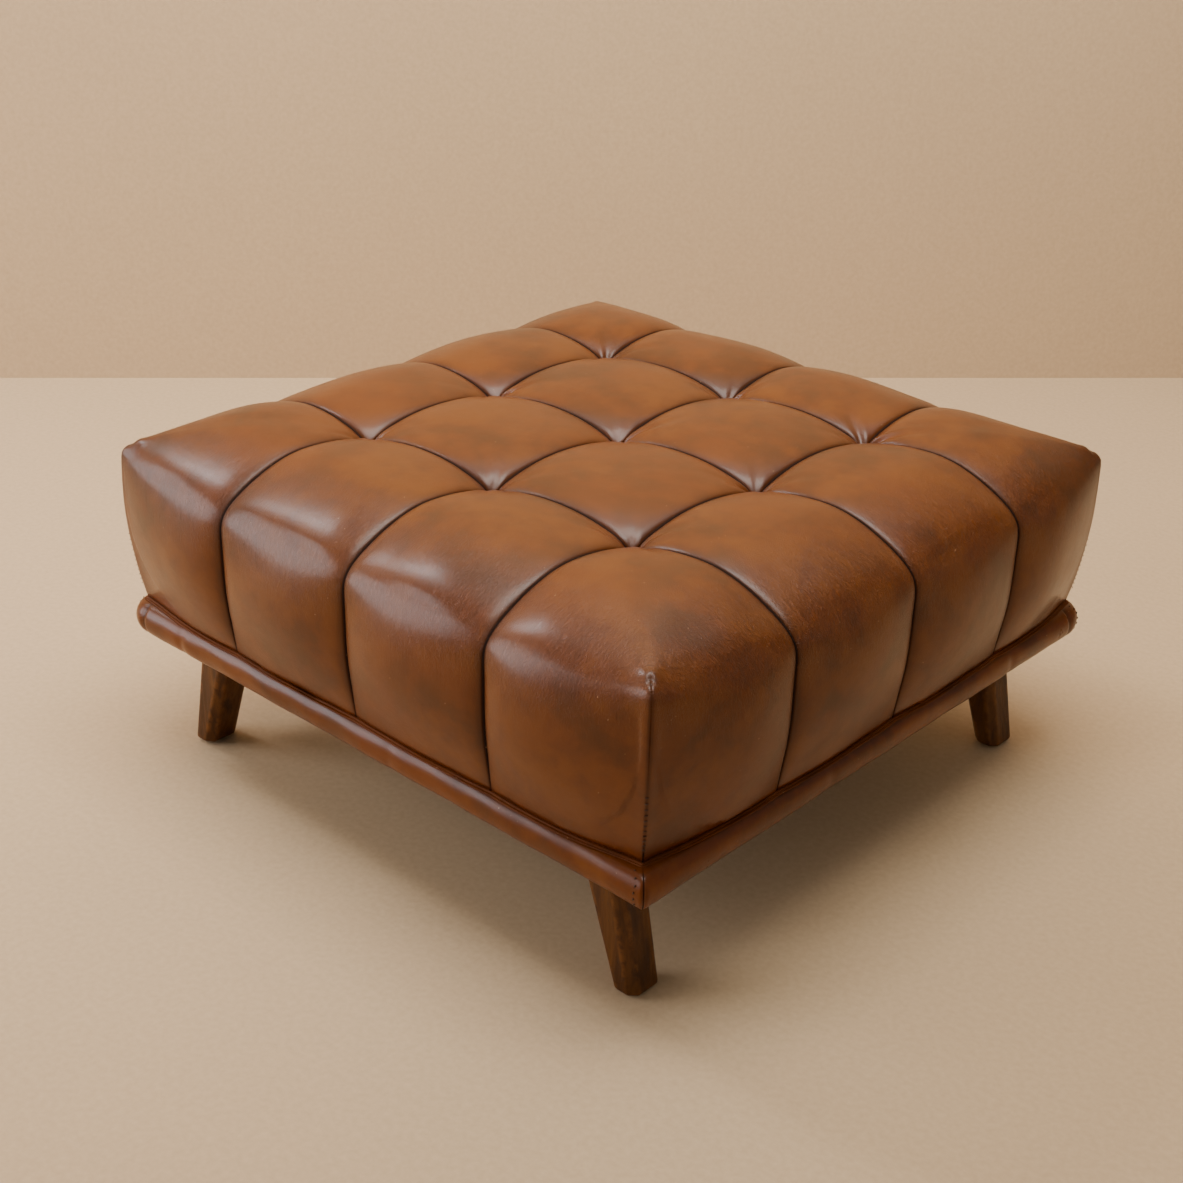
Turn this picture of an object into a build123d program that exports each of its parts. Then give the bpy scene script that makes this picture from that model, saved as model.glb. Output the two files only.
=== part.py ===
from build123d import *
import os

# Square ottoman: a deep biscuit-tufted leather pad on a low leather-wrapped frame with four splayed
# wooden legs. Millimetres, +Z up, origin on the floor under the middle. The front is at -Y.

# Plan
cells_per_side = 4
cell_pitch = 212.0
grid_half = cells_per_side * cell_pitch / 2

# Heights of the stack, from the floor up
glide_height = 2.5
leg_length = 156.5
dust_cover_thickness = 1.0
rail_height = 42.0
welt_thickness = 3.0
pad_height = 237.5

leg_top_z = glide_height + leg_length
frame_bottom_z = leg_top_z + dust_cover_thickness
frame_top_z = frame_bottom_z + rail_height
pad_bottom_z = frame_top_z + welt_thickness
pad_top_z = pad_bottom_z + pad_height

# Pad: heights as shares of the pad height
tuft_share = 0.784
seam_crest_share = 0.957

# Pad: how a cell rises from its seams, as shares of the cell pitch and of its own rise
rise_run_share = 0.14
rise_share = 0.7
rise_bend_run_share = 0.055
rise_bend_share = 0.4

# Pad: outlines from the last line of tufts over the shoulder and down the side to the base. Each pair
# is a share of the cell pitch outward and a share of the pad height upward. The points are the crest,
# the shoulder, the turn, the widest point, the flank and the base.
seam_outline_shares = [
    (0.46, 0.956),
    (0.857, 0.859),
    (1.03, 0.741),
    (1.045, 0.599),
    (1.036, 0.337),
    (0.987, 0.0),
]
crown_outline_shares = [
    (0.46, 1.0),
    (0.858, 0.906),
    (1.073, 0.771),
    (1.117, 0.596),
    (1.116, 0.33),
    (1.01, 0.0),
]
corner_outline_shares = [
    (0.46, 0.985),
    (0.8, 0.925),
    (0.935, 0.84),
    (0.985, 0.735),
    (0.983, 0.4),
    (0.918, 0.0),
]

# Pad: the corner cell's sections past its middle. Each pair is a share of the cell pitch outward and
# the share of the way from the crown's outline to the corner's, where more than one is past the ridge.
corner_station_shares = [(0.5, 0.2), (0.75, 0.55), (0.985, 1.0), (1.217, 1.5)]
corner_rise_share = 0.5
corner_lift_share = 0.017

# Foam core and deck
core_border = 94.0
core_height = 116.0
deck_edge_inset = 24.0
deck_thickness = 12.0

# Tufting: a cord at each inner crossing of the seams, tied through the deck to an anchor disc
cord_radius = 1.2
cord_clearance = 0.3
cord_end_gap = 1.0
deck_tuft_hole_radius = 3.0
anchor_radius = 11.0
anchor_thickness = 3.0
knot_radius = 3.2
knot_height = 4.0

# Frame
rail_face_inset = 24.0
rail_thickness = 28.0
leather_thickness = 1.5
stretcher_width = 50.0
block_leg = 124.0

# Rail wrap
wrap_turn_inset = 11.0
wrap_bulge = 12.0
wrap_flap_width = 25.0
soft_clearance = 0.3
welt_overhang = 13.0

# Legs: tapered in one direction and splayed sideways
foot_side_inset = 61.0
foot_front_inset = 69.0
leg_splay = 43.0
foot_width = 35.0
foot_depth = 48.0
leg_top_width = 56.0
leg_top_depth = 51.0
leg_chamfer = 9.0
foot_round = 3.5
glide_radius = 11.0

# Leg fixings
bolt_radius = 4.0
bolt_bite = 44.0
bolt_clearance = 0.1
bolt_hole_radius = 4.6
tee_barrel_radius = 5.4
tee_barrel_length = 9.0
tee_flange_radius = 11.0
tee_flange_thickness = 1.5

# Screws
screw_radius = 2.2
screw_head_radius = 4.2
screw_head_height = 3.0
screw_clearance = 0.1
deck_screw_length = 40.0
deck_screw_inset = 8.0
frame_screw_length = 70.0
frame_screw_spacing = 20.0

# Dust cover and stretched cuts
dust_cover_inset = 36.0
overrun = 20.0

core_half = grid_half - core_border
deck_half = grid_half - deck_edge_inset
deck_top_z = frame_top_z + deck_thickness
core_top_z = deck_top_z + core_height
rail_outer = grid_half - rail_face_inset
rail_inner = rail_outer - rail_thickness
wood_top_z = frame_top_z - leather_thickness
wood_bottom_z = frame_bottom_z + leather_thickness
wrap_turn = grid_half - wrap_turn_inset
foot_x = grid_half - foot_side_inset
foot_y = grid_half - foot_front_inset
bolt_x = foot_x - leg_splay
bolt_y = foot_y
tuft_lines = [(i - cells_per_side / 2) * cell_pitch for i in range(1, cells_per_side)]


def block(low, high):
    """Box between two opposite corners."""
    size = [b - a for a, b in zip(low, high)]
    middle = [(a + b) / 2 for a, b in zip(low, high)]
    return Pos(*middle) * Box(*size)


def rod(x, y, low_z, high_z, radius):
    """Upright cylinder between two heights."""
    return Pos(x, y, (low_z + high_z) / 2) * Cylinder(radius, high_z - low_z)


def turned(shape, quarter):
    """Shape turned about the upright axis by a number of quarter turns."""
    return Rot(0, 0, quarter * 90) * shape


def mixed(low, high, weight):
    return low + (high - low) * weight


def pad_z(share):
    return pad_bottom_z + share * pad_height


def mixed_outline(first, second, weight):
    """Outline part of the way from one table of shares to another."""
    return [(mixed(a[0], b[0], weight), mixed(a[1], b[1], weight)) for a, b in zip(first, second)]


def side_section(x, inner_z, outline):
    """Section of an outer cell at one place along the side, from the last line of tufts outward."""
    start = grid_half - cell_pitch
    points = [Vector(x, -(start + run * cell_pitch), pad_z(rise)) for run, rise in outline]
    crest, shoulder, turn, widest, flank, base = points
    gain = crest.Z - inner_z
    foot = Vector(x, -start, pad_bottom_z)
    top = Vector(x, -start, inner_z)
    bend = Vector(x, -start - rise_bend_run_share * cell_pitch, inner_z + rise_bend_share * gain)
    risen = Vector(x, -start - rise_run_share * cell_pitch, inner_z + rise_share * gain)
    edges = [
        Line(foot, top),
        ThreePointArc(top, bend, risen),
        ThreePointArc(risen, crest, shoulder),
        ThreePointArc(shoulder, turn, widest),
        ThreePointArc(widest, flank, base),
        Line(base, foot),
    ]
    return make_face(edges)


def middle_section(x, side_z, crest_z):
    """Section of an inner cell at one place across it."""
    gain = crest_z - side_z
    runs = [0, rise_bend_run_share, rise_run_share]
    rises = [0, rise_bend_share, rise_share]
    near = [Vector(x, run * cell_pitch, side_z + rise * gain) for run, rise in zip(runs, rises)]
    far = [Vector(x, cell_pitch - point.Y, point.Z) for point in near]
    crest = Vector(x, cell_pitch / 2, crest_z)
    low_near = Vector(x, 0, core_top_z)
    low_far = Vector(x, cell_pitch, core_top_z)
    edges = [
        Line(low_near, near[0]),
        ThreePointArc(near[0], near[1], near[2]),
        ThreePointArc(near[2], crest, far[2]),
        ThreePointArc(far[2], far[1], far[0]),
        Line(far[0], low_far),
        Line(low_far, low_near),
    ]
    return make_face(edges)


def cell_stations():
    """Places across a cell, each with how far the cell has risen there."""
    shares = [0, rise_run_share, 0.5, 1 - rise_run_share, 1]
    weights = [0, rise_share, 1, rise_share, 0]
    return [(share * cell_pitch, weight) for share, weight in zip(shares, weights)]


def inner_cell():
    """Cell with seams on all four sides, with its corner at the origin."""
    sections = []
    for x, weight in cell_stations():
        side_z = pad_z(mixed(tuft_share, seam_crest_share, weight))
        crest_z = pad_z(mixed(seam_crest_share, 1, weight))
        sections.append(middle_section(x, side_z, crest_z))
    return loft(sections)


def edge_cell():
    """Cell on the front side, from x = 0 to the pitch, rounded over the shoulder to the base."""
    sections = []
    for x, weight in cell_stations():
        inner_z = pad_z(mixed(tuft_share, seam_crest_share, weight))
        outline = mixed_outline(seam_outline_shares, crown_outline_shares, weight)
        sections.append(side_section(x, inner_z, outline))
    return loft(sections)


def corner_cell():
    """Cell at the front right corner, where two side forms meet in an upright ridge."""
    start = grid_half - cell_pitch
    seam_crest = seam_outline_shares[0][1]
    lifted_rise = mixed(tuft_share, seam_crest, rise_share) + corner_lift_share
    lifted_crest = seam_crest + corner_lift_share
    risen_outline = mixed_outline(seam_outline_shares, crown_outline_shares, corner_rise_share)
    stations = [(0, tuft_share, seam_outline_shares), (rise_run_share, lifted_rise, risen_outline)]
    for run, weight in corner_station_shares:
        outline = mixed_outline(crown_outline_shares, corner_outline_shares, weight)
        stations.append((run, lifted_crest, outline))
    sections = []
    for run, rise, outline in stations:
        sections.append(side_section(start + run * cell_pitch, pad_z(rise), outline))
    reach = grid_half + cell_pitch
    outline = [(0, 0, 0), (0, -reach, 0), (reach, -reach, 0)]
    front_half = extrude(make_face(Polyline(*outline, close=True)), pad_top_z + overrun, dir=(0, 0, 1))
    front_form = loft(sections) & front_half
    diagonal = Plane(origin=(0, 0, 0), z_dir=(1, 1, 0))
    return front_form + front_form.mirror(diagonal)


def tuft_bores(low_z, high_z, radius):
    """Upright bores at every tuft."""
    return [rod(x, y, low_z, high_z, radius) for x in tuft_lines for y in tuft_lines]


def hollowed(cell):
    """Outer cell with the room for the foam core and the deck taken out."""
    core = block((-core_half, -core_half, frame_bottom_z), (core_half, core_half, core_top_z))
    deck = block((-deck_half, -deck_half, frame_bottom_z), (deck_half, deck_half, deck_top_z))
    return cell - core - deck


def cushion_cells():
    """Every cell of the pad by name, rows from the front and columns from the left."""
    bores = tuft_bores(core_top_z - overrun, pad_top_z, cord_radius + cord_clearance)
    inner = inner_cell()
    edge = hollowed(edge_cell())
    corner = hollowed(corner_cell())
    last = cells_per_side - 1
    cells = {}
    for row in range(cells_per_side):
        for column in range(cells_per_side):
            x = column * cell_pitch - grid_half
            y = row * cell_pitch - grid_half
            if row in (0, last) and column in (0, last):
                quarter = {(0, last): 0, (last, last): 1, (last, 0): 2, (0, 0): 3}[(row, column)]
                cell = turned(corner, quarter)
            elif row == 0:
                cell = Pos(x, 0, 0) * edge
            elif column == last:
                cell = turned(Pos(y, 0, 0) * edge, 1)
            elif row == last:
                cell = turned(Pos(-x - cell_pitch, 0, 0) * edge, 2)
            elif column == 0:
                cell = turned(Pos(-y - cell_pitch, 0, 0) * edge, 3)
            else:
                cell = Pos(x, y, 0) * inner
            for bore in bores:
                cell = cell - bore
            cells[f"cushion_cell_r{row + 1}_c{column + 1}"] = cell
    return cells


def foam_core():
    core = block((-core_half, -core_half, deck_top_z), (core_half, core_half, core_top_z))
    for bore in tuft_bores(deck_top_z - overrun, core_top_z + overrun, cord_radius + cord_clearance):
        core -= bore
    return core


def deck_screw_places():
    """Two screws into each rail, half way between the middle and the corner blocks."""
    line = rail_inner + deck_screw_inset
    along = cell_pitch / 2
    return [(x, y) for x in (-along, along) for y in (-line, line)] + [
        (x, y) for x in (-line, line) for y in (-along, along)
    ]


def deck_board():
    deck = block((-deck_half, -deck_half, frame_top_z), (deck_half, deck_half, deck_top_z))
    for bore in tuft_bores(frame_top_z - overrun, deck_top_z + overrun, deck_tuft_hole_radius):
        deck -= bore
    for x, y in deck_screw_places():
        deck -= rod(x, y, frame_top_z - overrun, deck_top_z + overrun, screw_radius + screw_clearance)
        head_z = deck_top_z - screw_head_height
        deck -= rod(x, y, head_z, deck_top_z + overrun, screw_head_radius + screw_clearance)
    return deck


def deck_screws():
    screws = []
    for x, y in deck_screw_places():
        shank = rod(x, y, deck_top_z - deck_screw_length, deck_top_z, screw_radius)
        head = rod(x, y, deck_top_z - screw_head_height, deck_top_z, screw_head_radius)
        screws.append(shank + head)
    return screws


def tuft_cords():
    anchor_bottom_z = frame_top_z - anchor_thickness
    top_z = pad_z(tuft_share) - cord_end_gap
    cords = []
    for x in tuft_lines:
        for y in tuft_lines:
            knot = rod(x, y, anchor_bottom_z - knot_height, anchor_bottom_z, knot_radius)
            cords.append(rod(x, y, anchor_bottom_z - knot_height, top_z, cord_radius) + knot)
    return cords


def tuft_anchors():
    bottom_z = frame_top_z - anchor_thickness
    bore_radius = cord_radius + cord_clearance
    return [
        rod(x, y, bottom_z, frame_top_z, anchor_radius) - rod(x, y, bottom_z, frame_top_z, bore_radius)
        for x in tuft_lines
        for y in tuft_lines
    ]


def frame_screw_places():
    """Side and height of the screws through the front and back rails into the side rails' ends."""
    middle_z = (wood_bottom_z + wood_top_z) / 2
    line = rail_inner + rail_thickness / 2
    heights = (middle_z - frame_screw_spacing / 2, middle_z + frame_screw_spacing / 2)
    return [(x, z) for x in (-line, line) for z in heights]


def lying_screw(x, z, side, shank_radius, head_radius, tail):
    """Screw, or the hole for one, let in from the outer face of the front (-1) or back (1) rail."""
    start = side * (rail_outer + tail)
    seat = side * (rail_outer - screw_head_height)
    end = side * (rail_outer - frame_screw_length)
    lying = Rot(90, 0, 0)
    shank = Pos(x, (start + end) / 2, z) * lying * Cylinder(shank_radius, abs(start - end))
    head = Pos(x, (start + seat) / 2, z) * lying * Cylinder(head_radius, abs(start - seat))
    return shank + head


def frame_screws():
    places = [(x, z, side) for side in (-1, 1) for x, z in frame_screw_places()]
    return [lying_screw(x, z, side, screw_radius, screw_head_radius, 0) for x, z, side in places]


def frame_rails():
    """Front and back rails at full length, with the side rails between them."""
    deck_holes = [
        rod(x, y, deck_top_z - deck_screw_length, deck_top_z, screw_radius + screw_clearance)
        for x, y in deck_screw_places()
    ]
    shank_hole = screw_radius + screw_clearance
    head_hole = screw_head_radius + screw_clearance
    side_holes = [
        lying_screw(x, z, side, shank_hole, head_hole, overrun)
        for side in (-1, 1)
        for x, z in frame_screw_places()
    ]
    low_z = wood_bottom_z
    high_z = wood_top_z
    rails = {
        "frame_rail_front": block((-rail_outer, -rail_outer, low_z), (rail_outer, -rail_inner, high_z)),
        "frame_rail_back": block((-rail_outer, rail_inner, low_z), (rail_outer, rail_outer, high_z)),
        "frame_rail_left": block((-rail_outer, -rail_inner, low_z), (-rail_inner, rail_inner, high_z)),
        "frame_rail_right": block((rail_inner, -rail_inner, low_z), (rail_outer, rail_inner, high_z)),
    }
    for name in rails:
        for hole in deck_holes + side_holes:
            rails[name] = rails[name] - hole
    return rails


def stretchers():
    """Two cross members under the deck, between the lines of tufts."""
    middle = cell_pitch / 2
    half = stretcher_width / 2
    shape = block((middle - half, -rail_inner, wood_bottom_z), (middle + half, rail_inner, wood_top_z))
    return {"stretcher_right": shape, "stretcher_left": shape.mirror(Plane.YZ)}


def leg_corners():
    """The four corners by name, with the signs of their x and y."""
    return {"front_left": (-1, -1), "front_right": (1, -1), "back_left": (-1, 1), "back_right": (1, 1)}


def mirrored(shape, sign_x, sign_y):
    """Shape at the back right corner copied to the corner with the given signs."""
    if sign_x < 0:
        shape = shape.mirror(Plane.YZ)
    if sign_y < 0:
        shape = shape.mirror(Plane.XZ)
    return shape


def corner_block():
    """Three-cornered block in the back right corner of the frame, bored for the leg's bolt and nut."""
    outline = [
        (rail_inner, rail_inner, frame_bottom_z),
        (rail_inner - block_leg, rail_inner, frame_bottom_z),
        (rail_inner, rail_inner - block_leg, frame_bottom_z),
    ]
    shape = extrude(make_face(Polyline(*outline, close=True)), wood_top_z - frame_bottom_z, dir=(0, 0, 1))
    seat_z = wood_top_z - tee_flange_thickness
    shape -= rod(bolt_x, bolt_y, frame_bottom_z - overrun, wood_top_z + overrun, bolt_hole_radius)
    barrel_z = seat_z - tee_barrel_length
    shape -= rod(bolt_x, bolt_y, barrel_z, wood_top_z + overrun, tee_barrel_radius + bolt_clearance)
    shape -= rod(bolt_x, bolt_y, seat_z, wood_top_z + overrun, tee_flange_radius + bolt_clearance)
    return shape


def tee_nut():
    seat_z = wood_top_z - tee_flange_thickness
    shape = rod(bolt_x, bolt_y, seat_z - tee_barrel_length, wood_top_z, tee_barrel_radius)
    shape += rod(bolt_x, bolt_y, seat_z, wood_top_z, tee_flange_radius)
    return shape - rod(bolt_x, bolt_y, frame_bottom_z, wood_top_z + overrun, bolt_radius + bolt_clearance)


def leg_bolt():
    return rod(bolt_x, bolt_y, leg_top_z - bolt_bite, wood_top_z, bolt_radius)


def leg_section(z, middle_x, width, depth):
    """Rectangle with cut corners, level, at one height of the leg."""
    half_x = width / 2
    half_y = depth / 2
    corners = [(half_x, half_y), (-half_x, half_y), (-half_x, -half_y), (half_x, -half_y)]
    points = []
    for (x, y), along_x_first in zip(corners, (False, True, False, True)):
        step_x = leg_chamfer if x > 0 else -leg_chamfer
        step_y = leg_chamfer if y > 0 else -leg_chamfer
        pair = [(x, y - step_y), (x - step_x, y)]
        points += pair[::-1] if along_x_first else pair
    return make_face(Polyline(*[(middle_x + x, foot_y + y, z) for x, y in points], close=True))


def leg():
    """Leg at the back right corner, tapered across its width and leaning outward to the side."""
    sections = [
        leg_section(glide_height, foot_x, foot_width, foot_depth),
        leg_section(leg_top_z, bolt_x, leg_top_width, leg_top_depth),
    ]
    shape = loft(sections, ruled=True)
    rim = shape.faces().sort_by(Axis.Z)[0].edges()
    shape = fillet(rim, foot_round)
    top_z = leg_top_z + overrun
    return shape - rod(bolt_x, bolt_y, leg_top_z - bolt_bite, top_z, bolt_radius + bolt_clearance)


def foot_glide():
    return rod(foot_x, foot_y, 0, glide_height, glide_radius)


def quarter_wedge():
    """Upright wedge between the two diagonals, open to the front."""
    reach = grid_half + cell_pitch
    outline = [(0, 0, 0), (-reach, -reach, 0), (reach, -reach, 0)]
    return extrude(make_face(Polyline(*outline, close=True)), pad_top_z, dir=(0, 0, 1))


def front_strip(edges):
    """Section across the front side, drawn out along it and mitred at both corners."""
    reach = grid_half + cell_pitch
    strip = extrude(make_face(edges), reach, both=True, dir=(1, 0, 0))
    return strip & quarter_wedge()


def wrap_curve(shrink):
    """Top, middle and bottom of the wrap's round face, drawn inward by a distance."""
    middle_z = (frame_bottom_z + frame_top_z) / 2
    top = Vector(0, -wrap_turn, frame_top_z - shrink)
    middle = Vector(0, -wrap_turn - wrap_bulge + shrink, middle_z)
    bottom = Vector(0, -wrap_turn, frame_bottom_z + shrink)
    return top, middle, bottom


def rail_cover():
    """Leather round the outer face of the front rail, with a flap over and under the wood."""
    top, middle, bottom = wrap_curve(0)
    inner_top, inner_middle, inner_bottom = wrap_curve(leather_thickness)
    flap = Vector(0, wrap_flap_width, 0)
    edges = [
        ThreePointArc(top, middle, bottom),
        Line(bottom, bottom + flap),
        Line(bottom + flap, inner_bottom + flap),
        Line(inner_bottom + flap, inner_bottom),
        ThreePointArc(inner_bottom, inner_middle, inner_top),
        Line(inner_top, inner_top + flap),
        Line(inner_top + flap, top + flap),
        Line(top + flap, top),
    ]
    return front_strip(edges)


def rail_padding():
    """Wadding between the front rail's outer face and its leather."""
    top, middle, bottom = wrap_curve(leather_thickness)
    middle += Vector(0, soft_clearance, 0)
    back_top = Vector(0, -rail_outer, top.Z)
    back_bottom = Vector(0, -rail_outer, bottom.Z)
    edges = [
        ThreePointArc(top, middle, bottom),
        Line(bottom, back_bottom),
        Line(back_bottom, back_top),
        Line(back_top, top),
    ]
    return front_strip(edges)


def welt():
    """Flat folded leather lip between the front rail and the pad, outside the deck."""
    lip = -(wrap_turn + welt_overhang)
    corners = [
        (0, -deck_half, frame_top_z),
        (0, lip, frame_top_z),
        (0, lip, pad_bottom_z),
        (0, -deck_half, pad_bottom_z),
    ]
    return front_strip(Polyline(*corners, close=True))


def dust_cover():
    half = grid_half - dust_cover_inset
    sheet = block((-half, -half, leg_top_z), (half, half, frame_bottom_z))
    low_z = leg_top_z - overrun
    high_z = frame_bottom_z + overrun
    for sign_x, sign_y in leg_corners().values():
        sheet -= rod(sign_x * bolt_x, sign_y * bolt_y, low_z, high_z, bolt_hole_radius)
    return sheet


def ottoman():
    """Every node of the ottoman by name, as one solid or a list of like solids."""
    nodes = cushion_cells()
    nodes["foam_core"] = foam_core()
    nodes["deck_board"] = deck_board()
    nodes["deck_screws"] = deck_screws()
    nodes["tuft_cords"] = tuft_cords()
    nodes["tuft_anchors"] = tuft_anchors()
    nodes.update(frame_rails())
    nodes["frame_screws"] = frame_screws()
    nodes.update(stretchers())
    nodes["dust_cover"] = dust_cover()
    for quarter, side in enumerate(("front", "right", "back", "left")):
        nodes[f"rail_cover_{side}"] = turned(rail_cover(), quarter)
        nodes[f"rail_padding_{side}"] = turned(rail_padding(), quarter)
        nodes[f"welt_{side}"] = turned(welt(), quarter)
    bolts = []
    nuts = []
    for name, signs in leg_corners().items():
        nodes[f"corner_block_{name}"] = mirrored(corner_block(), *signs)
        nodes[f"leg_{name}"] = mirrored(leg(), *signs)
        nodes[f"foot_glide_{name}"] = mirrored(foot_glide(), *signs)
        bolts.append(mirrored(leg_bolt(), *signs))
        nuts.append(mirrored(tee_nut(), *signs))
    nodes["leg_bolts"] = bolts
    nodes["tee_nuts"] = nuts
    return nodes


os.makedirs("parts", exist_ok=True)
for name, shape in ottoman().items():
    solids = [piece.solid() for piece in shape] if isinstance(shape, list) else [shape.solid()]
    model = solids[0] if len(solids) == 1 else Compound(children=solids)
    export_step(model, f"parts/{name}.step")
    print(name, len(solids), round(sum(solid.volume for solid in solids)))
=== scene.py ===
# %% [markdown]
# # A tufted leather ottoman
# The ottoman is a square pad of four by four stuffed leather cells on a slim leather-wrapped frame with
# four leaning walnut legs. The CAD frame already says where everything sits. This file gives each piece
# that shows its soft or worn form and its finish, one step at a time.

# %% Load the frame
import math

import bpy
import numpy as np
from mathutils import Matrix, Vector


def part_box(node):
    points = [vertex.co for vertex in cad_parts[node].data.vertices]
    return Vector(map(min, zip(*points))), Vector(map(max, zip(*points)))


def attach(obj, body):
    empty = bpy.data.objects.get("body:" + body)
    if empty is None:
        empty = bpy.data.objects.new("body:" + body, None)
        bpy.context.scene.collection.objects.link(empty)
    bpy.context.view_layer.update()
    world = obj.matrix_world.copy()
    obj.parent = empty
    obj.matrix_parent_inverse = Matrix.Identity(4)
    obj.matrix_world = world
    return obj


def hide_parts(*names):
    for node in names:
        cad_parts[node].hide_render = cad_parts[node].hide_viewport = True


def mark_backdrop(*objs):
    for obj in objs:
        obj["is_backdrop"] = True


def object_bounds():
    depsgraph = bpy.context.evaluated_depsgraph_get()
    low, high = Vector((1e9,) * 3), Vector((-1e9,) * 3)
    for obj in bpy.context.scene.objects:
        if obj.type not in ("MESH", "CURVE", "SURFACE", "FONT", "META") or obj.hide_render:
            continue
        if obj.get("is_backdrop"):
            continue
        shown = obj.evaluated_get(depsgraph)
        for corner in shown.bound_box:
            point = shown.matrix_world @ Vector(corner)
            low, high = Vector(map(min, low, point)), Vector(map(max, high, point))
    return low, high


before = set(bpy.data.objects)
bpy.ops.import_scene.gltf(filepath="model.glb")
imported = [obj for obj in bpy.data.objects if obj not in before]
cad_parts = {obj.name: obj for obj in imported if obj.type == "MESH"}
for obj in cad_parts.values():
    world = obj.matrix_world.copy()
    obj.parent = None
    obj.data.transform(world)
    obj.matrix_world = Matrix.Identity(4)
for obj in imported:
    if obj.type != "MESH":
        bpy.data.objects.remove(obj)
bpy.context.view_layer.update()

MM = 0.001

# %% [markdown]
# ## The camera
# The camera stands a little above eye height of a seated person and looks down on one corner of the
# pad. A camera can be placed by eye, but here its heading, tilt and roll were solved from the seam
# crossings, so they are set as three turns, one after the other.

# %% Camera
PHOTO_PIXELS = 1183
FOCAL_PIXELS = 1814.4
CAMERA_PLACE = (1.3453, -1.5356, 1.2221)
HEADING, TILT, ROLL = 41.966, 63.686, 1.607

camera = bpy.data.objects.new("camera", bpy.data.cameras.new("camera"))
bpy.context.scene.collection.objects.link(camera)
camera.data.sensor_width = 36.0
camera.data.lens = camera.data.sensor_width * FOCAL_PIXELS / PHOTO_PIXELS
turns = [
    Matrix.Rotation(math.radians(HEADING), 4, "Z"),
    Matrix.Rotation(math.radians(TILT), 4, "X"),
    Matrix.Rotation(math.radians(ROLL), 4, "Z"),
]
camera.matrix_world = Matrix.Translation(CAMERA_PLACE) @ turns[0] @ turns[1] @ turns[2]
camera.data.clip_end = 50.0
bpy.context.scene.camera = camera
print("lens in mm:", round(camera.data.lens, 2))


# %% [markdown]
# ## Making a mesh
# Every new piece below is a surface that numpy works out as whole arrays of points. One helper turns
# points and faces into a Blender object. Its points are in millimetres in the frame, so the object
# itself stays at the origin and needs no placing.

# %% Mesh helpers
def grid_faces(rows, columns, closed=False, looped=False):
    """Four-cornered faces between neighbours of a grid of points. They face the side from which a step
    to the next row turns anticlockwise into a step to the next column. A closed grid joins its last
    column to its first, and a looped one also its last row to its first."""
    row, column = np.meshgrid(np.arange(rows - 1 + looped), np.arange(columns - 1 + closed), indexing="ij")
    below, after = (row + 1) % rows, (column + 1) % columns
    corners = (row, column), (below, column), (below, after), (row, after)
    return np.stack([line * columns + place for line, place in corners], axis=-1).reshape(-1, 4)


def make_piece(name, points, faces, materials, smooth=True):
    """Object with its place in its mesh, from points in millimetres."""
    mesh = bpy.data.meshes.new(name)
    mesh.from_pydata((np.asarray(points) * MM).tolist(), [], [list(face) for face in faces])
    mesh.update()
    for material in materials:
        mesh.materials.append(material)
    mesh.polygons.foreach_set("use_smooth", np.full(len(mesh.polygons), smooth))
    piece = bpy.data.objects.new(name, mesh)
    bpy.context.scene.collection.objects.link(piece)
    print(f"{name}: {len(mesh.vertices)} points, {len(mesh.polygons)} faces")
    return piece


def add_values(piece, **values):
    """Stores named numbers for each point of the piece, for its material to read."""
    for name, numbers in values.items():
        attribute = piece.data.attributes.new(name, "FLOAT", "POINT")
        attribute.data.foreach_set("value", np.ascontiguousarray(numbers, dtype=np.float32).ravel())


def border(grid):
    """What a square grid holds along its border, once round."""
    return np.concatenate([grid[:-1, 0], grid[-1, :-1], grid[:0:-1, -1], grid[0, :0:-1]])


print("faces of a grid of 3 x 3 points:", grid_faces(3, 3).tolist())

# %% [markdown]
# ## Nodes in short calls
# Every finish is a small tree of nodes, from the studio's paper to the leather. A few helpers add a node,
# feed it and hand on its result, so a finish below reads as a list of its steps.

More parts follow.
